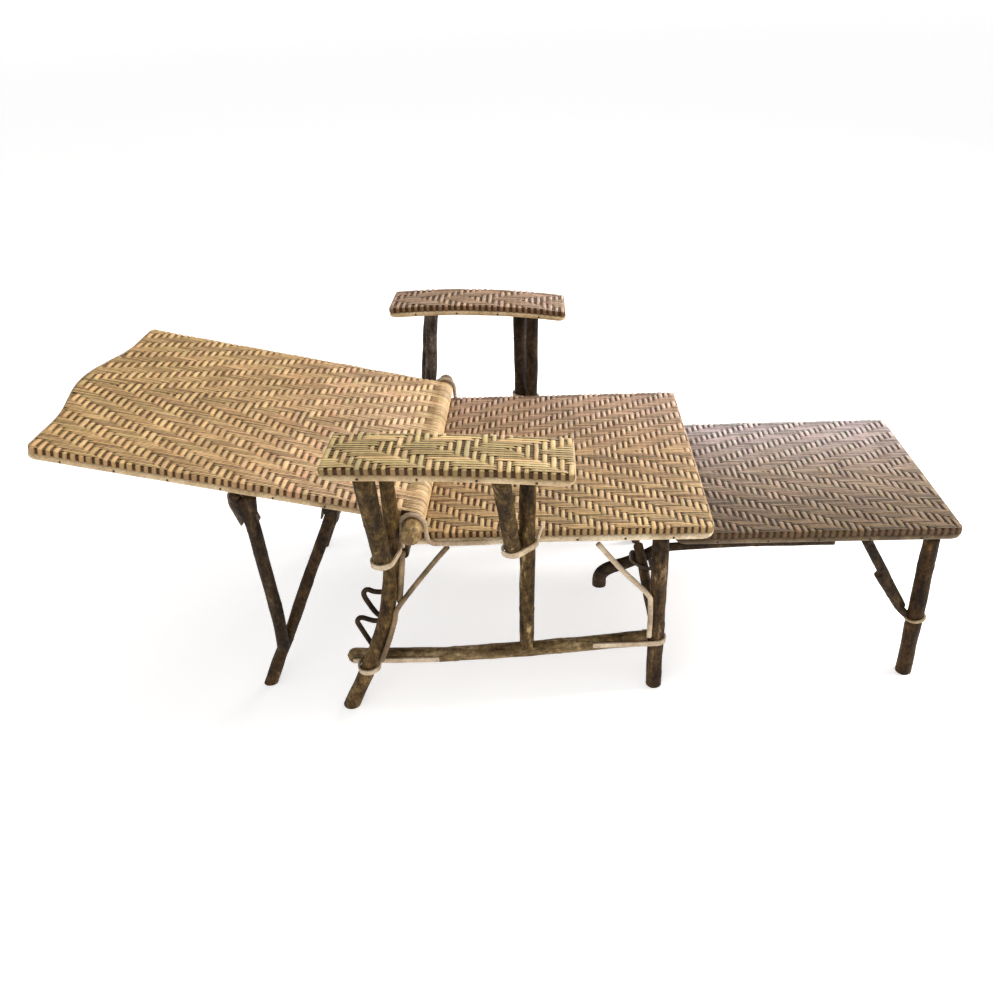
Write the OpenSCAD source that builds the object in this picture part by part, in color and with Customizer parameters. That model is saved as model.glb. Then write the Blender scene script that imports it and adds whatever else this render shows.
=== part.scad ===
// Reclining rattan chaise longue with a woven back, seat, footrest and two armrests.
// Millimetres. +X runs from the head to the foot, +Z is up, the near side is -Y.
// Pieces are written on the +Y side and mirrored; their X counts from the hinge axis.

/* [Seat] */
// Length of the seat, front edge to rear edge
seat_len = 520; // [470:1:560]
// Width of the seat
seat_w = 520; // [480:1:580]
// Height of the top of the seat
seat_top = 353; // [340:1:380]
// Distance from the hinge axis back to the rear edge of the seat
seat_rear = 35; // [30:1:42]
// Diameter of the poles in the seat's frame
seat_rail_d = 22; // [16:1:22]
// Diameter of the cane round the seat's edge
seat_rim_d = 12; // [8:1:12]
// Number of light cross poles under the seat
seat_slats = 3; // [1:1:5]

/* [Back] */
// Length of the back, hinge axis to the shoulders of the head edge
back_len = 609; // [520:1:640]
// Distance of the back's side edge in from the seat's
back_aside = 4.5; // [2:0.5:25]
// Slope of the back above level as it rests
back_angle = 13; // [11:0.5:15]
// Rise of the middle of the head edge past its shoulders
crest = 26; // [10:1:45]
// Half width of the rise in the head edge
crest_half = 170; // [120:1:200]
// Height of the top of the back over the hinge axis, square to its slope
back_over = 19.5; // [19:0.5:26]
// Diameter of the poles in the back's frame
back_rail_d = 16; // [12:1:17]
// Diameter of the cane round the back's edge
back_rim_d = 11; // [8:1:12]
// Number of light cross poles under the back
back_slats = 4; // [2:1:6]

/* [Hinge] */
// Diameter of the pole that the back turns on
pole_d = 32; // [26:1:32]
// Reach of the pole past each side of the seat
pole_over = 45; // [33:1:49]
// Thickness of the woven strip wound on the pole
wrap_t = 2; // [1:0.5:3]
// Thickness of the bent cane loops over the pole
loop_t = 4; // [2:0.5:4]
// Width of the bent cane loops over the pole
loop_w = 8; // [5:0.5:8.5]

/* [Footrest] */
// Length of the footrest panel
foot_len = 480; // [440:1:500]
// Distance of the footrest's side edge in from the seat's
foot_aside = 54; // [50:1:70]
// Distance from the front edge of the seat to the end of the footrest
foot_reach = 426; // [400:1:440]
// Diameter of the poles in the footrest's frame
foot_rail_d = 20; // [15:1:20]
// Diameter of the cane round the footrest's edge
foot_rim_d = 10; // [7:1:12]
// Diameter of the footrest's end legs
foot_leg_d = 28; // [22:1:30]
// Diameter of the footrest's inner legs
inner_leg_d = 18; // [14:1:18]
// Diameter of the hooked runners
crook_d = 19; // [14:1:19]

/* [Armrests] */
// Length of an armrest
arm_len = 361; // [320:1:390]
// Width of an armrest
arm_w = 113; // [100:1:130]
// Height of the top of the armrests
arm_top = 541; // [520:1:570]
// Distance from the hinge axis forward to the middle of the armrests
arm_mid = 79; // [70:1:88]
// Fall of the armrests towards the front, in degrees
arm_tilt = 3; // [0:0.5:4]
// Height of the far armrest over the near one
far_lift = 7; // [0:1:10]
// Rise of the near armrest's middle over its ends
near_arch = 4; // [0:0.5:12]
// Rise of the far armrest's middle over its ends
far_arch = 10; // [0:0.5:14]
// Diameter of the bent cane inside an armrest
arm_frame_d = 16; // [12:1:16]
// Diameter of the cane round an armrest's edge
arm_rim_d = 10; // [7:1:11]
// Gap across the seat's edge to the inner edge of an armrest
arm_gap = 10; // [6:1:14]

/* [Poles] */
// Diameter of the front legs
front_leg_d = 29; // [24:1:30]
// Diameter of the rear legs at the floor
rear_leg_d = 29; // [25:1:31]
// Diameter of the rear legs under the armrests
rear_leg_top_d = 23; // [20:1:25]
// Diameter of the side stretchers
stretcher_d = 27; // [22:1:28]
// Height of the side stretchers at the rear legs
stretcher_rear = 92; // [85:1:110]
// Height of the side stretchers at the front legs
stretcher_front = 108; // [95:1:122]
// Diameter of the posts that carry the front of the armrests
arm_post_d = 26; // [22:1:28]
// Diameter of the short struts under the rear of the armrests
rear_strut_d = 31; // [24:1:32]
// Diameter of the short struts under the front of the armrests
front_strut_d = 28; // [22:1:30]
// Diameter of the cross poles under the seat
bearer_d = 23; // [18:1:23]

/* [Canes] */
// Diameter of the light canes that brace the legs
brace_d = 9; // [6:0.5:9]
// Diameter of the cane bent into the notch racks
rack_d = 9; // [7:0.5:10]
// Thickness of the split cane straps
strap_t = 3; // [2:0.5:3.5]
// Width of the split cane straps
strap_w = 9; // [6:0.5:12]

/* [Prop] */
// Diameter of the struts that hang from the head bar
strut_d = 24; // [20:1:24]
// Diameter of the prop's legs at the pivot
prop_leg_d = 18; // [15:1:19]
// Diameter of the prop's legs at the floor
prop_foot_d = 24; // [20:1:24]
// Diameter of the head bar
head_bar_d = 18; // [14:1:22]
// Reach of the head bar past the middle of each of the prop's struts
head_bar_over = 14.5; // [11:0.5:17]
// Diameter of the pole that the prop swings on
pivot_d = 22; // [16:1:22]
// Distance along the back from the hinge axis to the prop's pivot
pivot_u = 137; // [130:1:150]
// Distance along the back from the hinge axis to the head bar
head_bar_u = 288; // [280:1:300]

/* [Weave] */
// Thickness of the woven mats
weave_t = 4; // [2:0.5:4]
// Height of the woven face at the panels' edges, down to the cane
edge_h = 12.5; // [11.5:0.5:13]
// Radius of the panels' corners
corner_r = 14; // [8:1:24]

/* [Fit] */
// Gap between pieces that are nailed or tied together
fit = 0.2; // [0.1:0.05:0.3]
// Gap between pieces that move past each other
run = 0.4; // [0.3:0.05:0.6]
// Diameter of a nail's head
nail_d = 4; // [3:0.5:5]
// Length of a nail
nail_len = 7; // [5:0.5:8]
// Largest distance between two nails
nail_pitch = 92; // [60:1:120]

/* [Hidden] */
$fn = 32;

// Colours
weave_gold = "#b5935a";
weave_brown = "#8d745b";
rim_cane = "#cdb891";
bark = "#6e6048";
dark_bark = "#3f3222";
pale_cane = "#d8c8a8";
nail_black = "#1f1b17";

// Heights and edges that several pieces share
hinge_z = seat_top + run + wrap_t + pole_d / 2;
seat_front = seat_len - seat_rear;
seat_half = seat_w / 2;
seat_t = max(weave_t + seat_rail_d, edge_h + seat_rim_d);
seat_under = seat_top - seat_t;
seat_rail_y = seat_half - seat_rim_d - fit - seat_rail_d / 2;
foot_top = seat_under - fit - bearer_d - run;
foot_end = seat_front + foot_reach;
foot_start = foot_end - foot_len;
foot_half = seat_half - foot_aside;
foot_rail_y = foot_half - foot_rim_d - fit - foot_rail_d / 2;
back_half = seat_half - back_aside;
back_rail_y = back_half - back_rim_d - fit - back_rail_d / 2;
arm_in = seat_half + arm_gap;
arm_out = arm_in + arm_w;
arm_frame_in = arm_in + arm_rim_d + fit + arm_frame_d / 2;
arm_frame_out = arm_out - arm_rim_d - fit - arm_frame_d / 2;

// The part's origin is under the middle of its box, so the hinge axis stands off to the side
back_rim_w = back_over - edge_h - fit - back_rim_d / 2;
head_x = -(back_len + crest) * cos(back_angle) + back_rim_w * sin(back_angle);
hinge_x = -(head_x + foot_end + nail_d / 4) / 2;

// Vector helpers
function unit(v) = v / norm(v);
function mix(a, b, t) = a + (b - a) * t;
function steps(n) = [for (i = [0 : n]) i / n];
function bend_at(p0, p1, p2, p3, t) =
  0.5 * (2 * p1 + (p2 - p0) * t + (2 * p0 - 5 * p1 + 4 * p2 - p3) * t * t
    + (3 * p1 - p0 - 3 * p2 + p3) * t * t * t);

// Smooth run through hand-chosen points, with n steps between neighbours
function smooth(p, n = 3) = concat(
  [for (i = [0 : len(p) - 2], k = [0 : n - 1])
    bend_at(p[max(i - 1, 0)], p[i], p[i + 1], p[min(i + 2, len(p) - 1)], k / n)],
  [p[len(p) - 1]]);

// Place on a run of rising points at height z
function x_at(run_points, z) = lookup(z, [for (p = run_points) [p.z, p.x]]);
function y_at(run_points, z) = lookup(z, [for (p = run_points) [p.z, p.y]]);

// Corner of a panel's outline: an arc from angle a0 to a1
function arc(cx, cy, r, a0, a1, n = 4) =
  [for (t = steps(n)) [cx + r * cos(mix(a0, a1, t)), cy + r * sin(mix(a0, a1, t))]];

// Rectangle with round corners, anticlockwise from the corner at high X and low Y
function round_rect(x0, x1, half, r) = concat(
  arc(x1 - r, -half + r, r, -90, 0), arc(x1 - r, half - r, r, 0, 90),
  arc(x0 + r, half - r, r, 90, 180), arc(x0 + r, -half + r, r, 180, 270));

// Head edge of the back: level shoulders and a smooth rise between them
function head_edge(y) = abs(y) < crest_half ? crest * (1 + cos(180 * y / crest_half)) / 2 : 0;
function head_curve(half, r, inset, n = 20) =
  [for (t = steps(n)) let (y = mix(half - r, -half + r, t)) [-(back_len - inset + head_edge(y)), y]];

// Outline of the back drawn in by inset; start is its hinge end
function back_outline(inset, start) = let (half = back_half - inset, r = corner_r - inset / 2) concat(
  [[-start, half]],
  arc(-(back_len - inset) + r, half - r, r, 90, 165, 3),
  head_curve(half, r, inset),
  arc(-(back_len - inset) + r, -half + r, r, 195, 270, 3),
  [[-start, -half]]);

// Bar swept along points, with one radius, one for each end or one for each point; ref is a
// direction that the run never follows, and deep stretches the bar square to it
module tube(points, radii, ref = [0, 1, 0], sides = 12, closed = false, deep = 1) {
  n = len(points);
  function radius(i) = !is_list(radii) ? radii
    : len(radii) == 2 ? mix(radii[0], radii[1], i / (n - 1)) : radii[i];
  function before(i) = closed ? points[(i + n - 1) % n] : points[max(i - 1, 0)];
  function after(i) = closed ? points[(i + 1) % n] : points[min(i + 1, n - 1)];
  rings = [for (i = [0 : n - 1])
    let (along = unit(after(i) - before(i)), a = unit(cross(along, ref)), b = cross(along, a))
    for (k = [0 : sides - 1])
      points[i] + radius(i) * (deep * cos(360 * k / sides) * a + sin(360 * k / sides) * b)];
  last = closed ? n - 1 : n - 2;
  walls = [for (i = [0 : last], k = [0 : sides - 1])
    let (j = (i + 1) % n, m = (k + 1) % sides)
    for (face = [
      [i * sides + k, j * sides + m, i * sides + m],
      [i * sides + k, j * sides + k, j * sides + m]]) face];
  ends = closed ? [] : concat(
    [for (k = [1 : sides - 2]) [0, k, k + 1]],
    [for (k = [1 : sides - 2]) [(n - 1) * sides, (n - 1) * sides + k + 1, (n - 1) * sides + k]]);
  polyhedron(rings, concat(walls, ends));
}

// Straight pole between two points, with a radius at each end
module pole(from, to, r0, r1) {
  run_to = to - from;
  level = norm([run_to.x, run_to.y]);
  translate(from)
    rotate([0, atan2(level, run_to.z), atan2(run_to.y, run_to.x)])
      cylinder(h = norm(run_to), r1 = r0, r2 = r1);
}

// Straight pole across the width, centred on the middle
module cross_pole(x, z, length, d)
  translate([x, 0, z]) rotate([90, 0, 0]) cylinder(h = length, d = d, center = true);

module above_floor() difference() {
  children();
  translate([-1000, -1000, -200]) cube([2000, 2000, 200]);
}

module near_side() mirror([0, 1, 0]) children();
module both_sides() {
  children();
  near_side() children();
}
module at_hinge() translate([hinge_x, 0, 0]) children();
module on_back() at_hinge() translate([0, 0, hinge_z]) rotate([0, back_angle, 0]) children();

// Place of a point given along the back and square to it, from the hinge axis
function back_x(u, w) = -u * cos(back_angle) + w * sin(back_angle);
function back_z(u, w) = hinge_z + u * sin(back_angle) + w * cos(back_angle);

// Woven mat turned down at the panel's edge
module woven_tray(outer, inner) difference() {
  translate([0, 0, -edge_h]) linear_extrude(edge_h) polygon(outer);
  translate([0, 0, -edge_h - 1]) linear_extrude(edge_h + 1 - weave_t) polygon(inner);
}

// Evenly spaced values from a to b, no further apart than the nails' pitch
function spread(a, b) = let (n = max(1, ceil((b - a) / nail_pitch)))
  [for (i = [0 : n - 1]) mix(a, b, (i + 0.5) / n)];

// A nail whose head faces the direction given as an angle about Z
module nail(x, y, z, facing) translate([x, y, z]) rotate([0, 90, facing]) {
  translate([0, 0, -nail_len]) cylinder(h = nail_len, d = nail_d / 2, $fn = 16);
  cylinder(h = nail_d / 4, d1 = nail_d, d2 = nail_d / 2, $fn = 16);
}

// Band of split cane round two poles that stand side by side
function belt(c0, r0, c1, r1, n = 10) = let (
  gap = c1 - c0, way = atan2(gap.y, gap.x), turn = acos((r0 - r1) / norm(gap))) concat(
  [for (t = steps(n)) let (a = way + mix(turn, 360 - turn, t)) c0 + r0 * [cos(a), sin(a)]],
  [for (t = steps(n)) let (a = way + mix(-turn, turn, t)) c1 + r1 * [cos(a), sin(a)]]);
module belt_strap(c0, r0, c1, r1) linear_extrude(strap_w, center = true) difference() {
  polygon(belt(c0, r0 + fit + strap_t, c1, r1 + fit + strap_t));
  polygon(belt(c0, r0 + fit, c1, r1 + fit));
}

// Bent strap seen edge on: a half round of inner radius r over two straight tails, of which
// the one at positive X may be shorter
function half_round(r, n = 16) = [for (t = steps(n)) [r * cos(180 * t), r * sin(180 * t)]];
function backwards(p) = [for (i = [len(p) - 1 : -1 : 0]) p[i]];
function bent_strap(r, t, tail, other) = let (right = is_undef(other) ? tail : other) concat(
  [[r + t, -right]], half_round(r + t), [[-r - t, -tail], [-r, -tail]], backwards(half_round(r)),
  [[r, -right]]);

// Loop bent over a level pole, with two straight tails below it
module hanging_loop(r, tail, width, t)
  rotate([90, 0, 0]) linear_extrude(width, center = true) polygon(bent_strap(r, t, tail));

// Loop over a level pole whose tails open out to reach a thicker one below it
module splayed_loop(r, r_tail, drop, width, t) rotate([90, 0, 0]) linear_extrude(width, center = true)
  difference() {
    union() {
      polygon(belt([0, 0], r + t, [0, -r_tail], r_tail + t));
      translate([-r_tail - t, -drop]) square([2 * (r_tail + t), drop - r_tail]);
    }
    polygon(belt([0, 0], r, [0, -r_tail], r_tail));
    translate([-r_tail, -2 * drop]) square([2 * r_tail, 2 * drop - r_tail]);
  }

// Seat

module seat_weave() color(weave_gold) at_hinge() translate([0, 0, seat_top])
  woven_tray(
    round_rect(-seat_rear, seat_front, seat_half - 1.5, corner_r),
    round_rect(-seat_rear + weave_t, seat_front - weave_t, seat_half - 1.5 - weave_t, corner_r - weave_t));

module edge_cane(outline, z, d, closed = true)
  tube([for (p = outline) [p.x, p.y, z]], d / 2, ref = [0, 0, 1], sides = 10, closed = closed);

module seat_rim() color(rim_cane) at_hinge()
  edge_cane(round_rect(-seat_rear + seat_rim_d / 2, seat_front - seat_rim_d / 2,
    seat_half - seat_rim_d / 2, corner_r), seat_top - edge_h - fit - seat_rim_d / 2, seat_rim_d);

// Gap that keeps the ends of the side rails off the round corners of the edge cane
rail_gap = 5;
seat_rail_z = seat_top - weave_t - fit - seat_rail_d / 2;
seat_inset = seat_rim_d + fit + seat_rail_d / 2;
module seat_rail() color(bark) at_hinge()
  pole([-seat_rear + seat_rim_d + rail_gap, seat_rail_y, seat_rail_z],
    [seat_front - seat_rim_d - rail_gap, seat_rail_y, seat_rail_z], seat_rail_d / 2, seat_rail_d / 2);

slat_d = 10;
module seat_cross_rails() color(bark) at_hinge() {
  length = 2 * (seat_rail_y - seat_rail_d / 2 - fit);
  for (x = [-seat_rear + seat_inset, seat_front - seat_inset])
    cross_pole(x, seat_rail_z, length, seat_rail_d);
  for (i = [1 : seat_slats])
    cross_pole(mix(-seat_rear, seat_front, i / (seat_slats + 1)),
      seat_top - weave_t - fit - slat_d / 2, length, slat_d);
}

// Legs, stretchers and cross poles

front_leg_setback = 84;
front_leg_x = seat_front - front_leg_setback;
front_leg_y = seat_half - 20;
rear_leg_r = rear_leg_d / 2;
rear_leg_top_r = rear_leg_top_d / 2;
rear_leg_side = seat_half + fit + mix(rear_leg_r, rear_leg_top_r, 0.66) + 0.5;

function arm_z(x, arch) = arm_top + (arch == far_arch ? far_lift : 0) - (x - arm_mid) * tan(arm_tilt)
  - arch * pow((x - arm_mid) / (arm_len / 2), 2);
function arm_under(x, arch) = arm_z(x, arch)
  - max(weave_t + arm_frame_d, edge_h + arm_rim_d) - 2 * fit - 0.5;

// The rear leg bows forward as it rises, from the floor to the armrest
function rear_leg_run(arch) = smooth([
  [-149, rear_leg_side + 9, -5], [-113, rear_leg_side + 9, 70],
  [-79, rear_leg_side + 7, 145], [-58, rear_leg_side + 4, 210],
  [-43, rear_leg_side + 1, 289], [-36, rear_leg_side, 340],
  [-30 + forward(arch, 2), rear_leg_side + 5, 400], [-27 + forward(arch, 5), arm_frame_in - 3, 462],
  [-26 + forward(arch, 8), arm_frame_in, arm_under(-26 + forward(arch, 8), arch)]]);
leg_run = rear_leg_run(near_arch);
function leg_r(z) = mix(rear_leg_r, rear_leg_top_r, z / arm_under(-26, near_arch));

module rear_leg(arch) color(bark) at_hinge() above_floor()
  tube(rear_leg_run(arch), [rear_leg_r, rear_leg_top_r]);

module front_leg() color(bark) at_hinge()
  translate([front_leg_x, front_leg_y, 0]) cylinder(h = seat_under - fit, d = front_leg_d);

stretcher_y = y_at(leg_run, stretcher_rear) - leg_r(stretcher_rear) - fit - stretcher_d / 2 - 0.3;
stretcher_tail = 148;
stretcher_tip = front_leg_x - front_leg_d / 2 - fit - 0.8;
stretcher_sag = 12;
function stretcher_at(x) = let (t = (x + stretcher_tail) / (stretcher_tip + stretcher_tail))
  [x, mix(stretcher_y, front_leg_y, t),
    mix(stretcher_rear, stretcher_front, t) - stretcher_sag * sin(180 * pow(max(t, 0), 0.75))];

module stretcher() color(bark) at_hinge() {
  r = stretcher_d / 2;
  start = -stretcher_tail + r;
  knob = [for (a = [90 : -18 : 18]) [start - r * sin(a), r * cos(a)]];
  run_points = concat(
    [for (k = knob) [k.x, stretcher_at(start).y, stretcher_at(start).z]],
    [for (t = steps(9)) stretcher_at(mix(start, stretcher_tip, t))]);
  radii = concat([for (k = knob) max(k.y, 1)], [for (t = steps(9)) r]);
  tube(run_points, radii);
}

bearer_z = seat_under - fit - bearer_d / 2;
rear_bearer_x = -seat_rear + bearer_d / 2;
module front_bearer() color(bark) at_hinge()
  cross_pole(front_leg_x, bearer_z, 2 * (front_leg_y - front_leg_d / 2 - fit), bearer_d);
module rear_bearer() color(bark) at_hinge()
  cross_pole(rear_bearer_x, bearer_z, 2 * (y_at(leg_run, bearer_z) - leg_r(bearer_z) - fit), bearer_d);

// Armrests

post_side = seat_half + fit + arm_post_d / 2 + 1.2;
post_foot_x = 173;
post_top_x = 190;
function post_foot_z() = stretcher_at(post_foot_x).z + stretcher_d / 2 + fit;
function post_top(arch) = [post_top_x, arm_frame_in, arm_under(post_top_x, arch)];
function post_foot(arch) = let (z0 = post_foot_z(), top = post_top(arch),
  t = (top.z - seat_top) / (top.z - z0)) [post_foot_x, (post_side - (1 - t) * top.y) / t, z0];
function post_at(z, arch) = let (a = post_foot(arch), b = post_top(arch)) mix(a, b, (z - a.z) / (b.z - a.z));

module arm_post(arch) color(bark) at_hinge()
  pole(post_foot(arch), post_top(arch), arm_post_d / 2, arm_post_d / 2);

rear_strut_foot_z = 324;
front_strut_foot_z = 333;
rear_strut_lean = -9;
function rear_strut_foot(arch) = [x_at(leg_run, rear_strut_foot_z) + rear_strut_lean,
  y_at(leg_run, rear_strut_foot_z) + leg_r(rear_strut_foot_z) + fit + rear_strut_d / 2 + 0.3,
  rear_strut_foot_z];
function front_strut_foot(arch) = let (p = post_at(front_strut_foot_z, arch), lean = -22,
  away = arm_post_d / 2 + fit + front_strut_d / 2 + 0.5)
  [p.x + lean, p.y + sqrt(away * away - lean * lean), front_strut_foot_z];

// The far armrest's struts and leg lean further forward
function forward(arch, shift) = arch == far_arch ? shift : 0;
function rear_strut_top(arch) = let (x = -42 + forward(arch, 18)) [x, arm_frame_out, arm_under(x, arch)];
function front_strut_top(arch) = let (x = 153 + forward(arch, 9)) [x, arm_frame_out, arm_under(x, arch)];
module rear_strut(arch) color(bark) at_hinge()
  pole(rear_strut_foot(arch), rear_strut_top(arch),
    rear_strut_d / 2 - 1, rear_strut_d / 2);
module front_strut(arch) color(bark) at_hinge()
  pole(front_strut_foot(arch), front_strut_top(arch),
    front_strut_d / 2 - 1, front_strut_d / 2);

module arm_rear_struts() {
  rear_strut(far_arch);
  near_side() rear_strut(near_arch);
}
module arm_front_struts() {
  front_strut(far_arch);
  near_side() front_strut(near_arch);
}

// Side view of an arched, sloping slab, drawn in by inset from the armrest's ends
function arm_slab(arch, inset, top, bottom) = let (
  x0 = arm_mid - arm_len / 2 + inset, x1 = arm_mid + arm_len / 2 - inset) concat(
  [for (t = steps(10)) let (x = mix(x0, x1, t)) [x, arm_z(x, arch) - top]],
  [for (t = steps(10)) let (x = mix(x1, x0, t)) [x, arm_z(x, arch) - bottom]]);
module arm_prism(arch, inset, top, bottom, y0, y1)
  translate([0, y1, 0]) rotate([90, 0, 0])
    linear_extrude(y1 - y0) polygon(arm_slab(arch, inset, top, bottom));

module arm_weave(arch) color(weave_gold) at_hinge() difference() {
  arm_prism(arch, 0, 0, edge_h, arm_in + 1, arm_out - 1);
  arm_prism(arch, weave_t, weave_t, edge_h + 10, arm_in + 1 + weave_t, arm_out - 1 - weave_t);
}

function arm_loop(arch, inset, drop, r) = [for (p = round_rect(
  arm_mid - arm_len / 2 + inset, arm_mid + arm_len / 2 - inset, arm_w / 2 - inset, r))
  [p.x, p.y + (arm_in + arm_out) / 2, arm_z(p.x, arch) - drop]];

// The long sides of the loop follow the arch, so each gets points between its corners
function with_middles(loop, arch, drop) = [for (i = [0 : len(loop) - 1])
  let (a = loop[i], b = loop[(i + 1) % len(loop)])
  for (k = [0 : norm(b - a) > arm_w ? 3 : 0])
    let (p = mix(a, b, k / 4)) [p.x, p.y, arm_z(p.x, arch) - drop]];

module arm_rim(arch) color(rim_cane) at_hinge() {
  drop = edge_h + fit + arm_rim_d / 2;
  tube(with_middles(arm_loop(arch, arm_rim_d / 2, drop, 12), arch, drop),
    arm_rim_d / 2, ref = [0, 0, 1], sides = 10, closed = true);
}
module arm_frame(arch) color(bark) at_hinge() {
  inset = arm_rim_d + fit + arm_frame_d / 2;
  drop = weave_t + fit + arm_frame_d / 2;
  tube(with_middles(arm_loop(arch, inset, drop, 12), arch, drop),
    arm_frame_d / 2, ref = [0, 0, 1], sides = 12, closed = true);
}

// Braces and racks

brace_r = brace_d / 2;
module front_braces() color(pale_cane) at_hinge() both_sides() {
  away = (front_leg_d / 2 + brace_r + 0.4) * sqrt(0.5);
  x = front_leg_x - away;
  y = front_leg_y + away;
  foot = stretcher_front + stretcher_d / 2 + 1;
  tube(smooth([[front_leg_x - 104, seat_half - 6, seat_under - brace_r - 1],
    [front_leg_x - 62, seat_half - 6, seat_under - 62],
    [x - 6, y, seat_under - 111], [x, y, seat_under - 135], [x, y, foot]]), brace_r, sides = 8);
}

// Place beside the rear leg's front face, turned outward by an angle
function leg_front(z, away, turn = 0) = let (reach = leg_r(z) + brace_r + away)
  [x_at(leg_run, z) + reach * cos(turn), y_at(leg_run, z) + reach * sin(turn), z];
module rear_braces() color(pale_cane) at_hinge() both_sides() {
  tube(smooth([[51, seat_half - 6, seat_under - brace_r - 1], [16, seat_half - 1, 281],
    leg_front(222, 2, 20), leg_front(196, 1.2, 30), leg_front(160, 1.4, 35),
    leg_front(stretcher_rear + stretcher_d / 2 + 6, 1.6, 35)]), brace_r, sides = 8);
  tube(smooth([leg_front(312, 0.6), leg_front(280, 0.8), leg_front(250, 1.2)]), brace_r, sides = 8);
}

// Bent cane with two shelves that catch the prop; it leans in from the leg's inner face
shelf_y = seat_half - 10;
rack_r = rack_d / 2;
function on_leg(x, z) = [x, y_at(leg_run, z) - leg_r(z) - rack_r + 0.8, z];
module notch_rack() color(bark) at_hinge()
  tube(smooth([on_leg(-46, 240), [-62, seat_half - 5, 232], [-82, shelf_y, 229],
    [-93, shelf_y, 234], [-100, shelf_y, 229], [-100, shelf_y, 217], [-85, shelf_y + 4, 188],
    on_leg(-71, 179), [-88, shelf_y + 7, 171], [-112, shelf_y, 173], [-120, shelf_y, 166],
    [-118, shelf_y, 155], on_leg(-98, 124)], 2), rack_r, sides = 8);

// Loops and straps

module hinge_loops() color(pale_cane) at_hinge() both_sides()
  translate([0, seat_half + fit + loop_w / 2, hinge_z])
    hanging_loop(pole_d / 2 + run, hinge_z - seat_under - 3, loop_w, loop_t);

strut_strap_rear_z = rear_strut_foot_z + 7;
strut_strap_front_z = front_strut_foot_z + 7;
stretcher_strap_rear = 105;
stretcher_strap_front = 112;
stretcher_strap_inner = 22;
module strut_straps(arch) {
  z0 = strut_strap_rear_z;
  z1 = strut_strap_front_z;
  a = rear_strut_foot(arch);
  b = front_strut_foot(arch);
  a_top = rear_strut_top(arch);
  b_top = front_strut_top(arch);
  p = mix(a, a_top, (z0 - a.z) / (a_top.z - a.z));
  q = mix(b, b_top, (z1 - b.z) / (b_top.z - b.z));
  post = post_at(z1, arch);
  difference() {
    union() {
      translate([0, 0, z0]) belt_strap([x_at(leg_run, z0), y_at(leg_run, z0)], leg_r(z0) + 0.7,
        [p.x, p.y], rear_strut_d / 2 + 1);
      translate([0, 0, z1]) belt_strap([post.x, post.y], arm_post_d / 2 + 0.6,
        [q.x, q.y], front_strut_d / 2 + 1.6);
    }
    translate([-seat_len, seat_half - 99.7, 0]) cube([2 * seat_len, 100, seat_top + 10]);
  }
}

// Split cane bent round a leg, with its tails turned out along the stretcher
module leg_strap(r, tail_a, tail_b, tail_y) linear_extrude(strap_w, center = true) polygon(concat(
  [[r, -tail_y], [r + tail_b, -tail_y], [r + tail_b, strap_t - tail_y], [r + strap_t, strap_t - tail_y]],
  half_round(r + strap_t),
  [[-r - strap_t, strap_t - tail_y], [-r - tail_a, strap_t - tail_y], [-r - tail_a, -tail_y], [-r, -tail_y]],
  backwards(half_round(r))));
module stretcher_straps() {
  z0 = stretcher_rear - 2;
  leg = [x_at(leg_run, z0), y_at(leg_run, z0)];
  face = max(stretcher_at(-stretcher_tail).y, stretcher_at(leg.x + stretcher_strap_rear).y)
    + stretcher_d / 2 + fit;
  r = leg_r(z0) + fit + 2.6;
  translate([leg.x, leg.y, z0]) leg_strap(r, 14, stretcher_strap_rear, leg.y - face);
  splay = atan2(stretcher_y - front_leg_y, stretcher_tip + stretcher_tail);
  translate([front_leg_x, front_leg_y, stretcher_front]) rotate([0, 0, -90 - splay])
    linear_extrude(strap_w, center = true)
      polygon(bent_strap(front_leg_d / 2 + fit, strap_t, stretcher_strap_front, stretcher_strap_inner));
}
module frame_straps() color(pale_cane) at_hinge() {
  strut_straps(far_arch);
  near_side() strut_straps(near_arch);
  both_sides() stretcher_straps();
}

// Nails along the edge canes
module rim_nails(x0, x1, half, z, d) {
  for (x = spread(x0 + 2 * corner_r, x1 - 2 * corner_r), side = [-1, 1])
    nail(x, side * half, z - d / 2, side * 90);
  for (y = spread(-half + corner_r, half - corner_r))
    nail(x1, y, z - d / 2, 0);
}
module frame_nails() color(nail_black) at_hinge() {
  rim_nails(-seat_rear, seat_front, seat_half, seat_top - edge_h - fit, seat_rim_d);
  for (far = [0, 1]) {
    arch = far ? far_arch : near_arch;
    mirror([0, 1 - far, 0])
      for (x = spread(arm_mid - arm_len / 2 + corner_r, arm_mid + arm_len / 2 - corner_r))
        for (side = [-1, 1])
          nail(x, side > 0 ? arm_out : arm_in, arm_z(x, arch) - edge_h - fit - arm_rim_d / 2, side * 90);
  }
}

// Back

module hinge_pole() color(bark) on_back() cross_pole(0, 0, 2 * (seat_half + pole_over), pole_d);

rail_start = pole_d / 2 + wrap_t + 1;
module back_weave() color(weave_gold) on_back() difference() {
  union() {
    translate([0, 0, back_over])
      woven_tray(back_outline(1.5, rail_start - 6), back_outline(1.5 + weave_t, -10));
    rotate([90, 0, 0]) cylinder(h = 2 * back_half - 3, r = pole_d / 2 + wrap_t, center = true);
  }
  rotate([90, 0, 0]) cylinder(h = 2 * back_half, d = pole_d, center = true);
}

module back_rim() color(rim_cane) on_back()
  edge_cane(back_outline(back_rim_d / 2, rail_start), back_rim_w, back_rim_d, closed = false);

back_rail_w = back_over - weave_t - fit - back_rail_d / 2;
back_inset = back_rim_d + fit + back_rail_d / 2;
module back_rail() color(bark) on_back()
  pole([-rail_start, back_rail_y, back_rail_w],
    [-(back_len - back_rim_d - fit), back_rail_y, back_rail_w], back_rail_d / 2, back_rail_d / 2);

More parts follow.
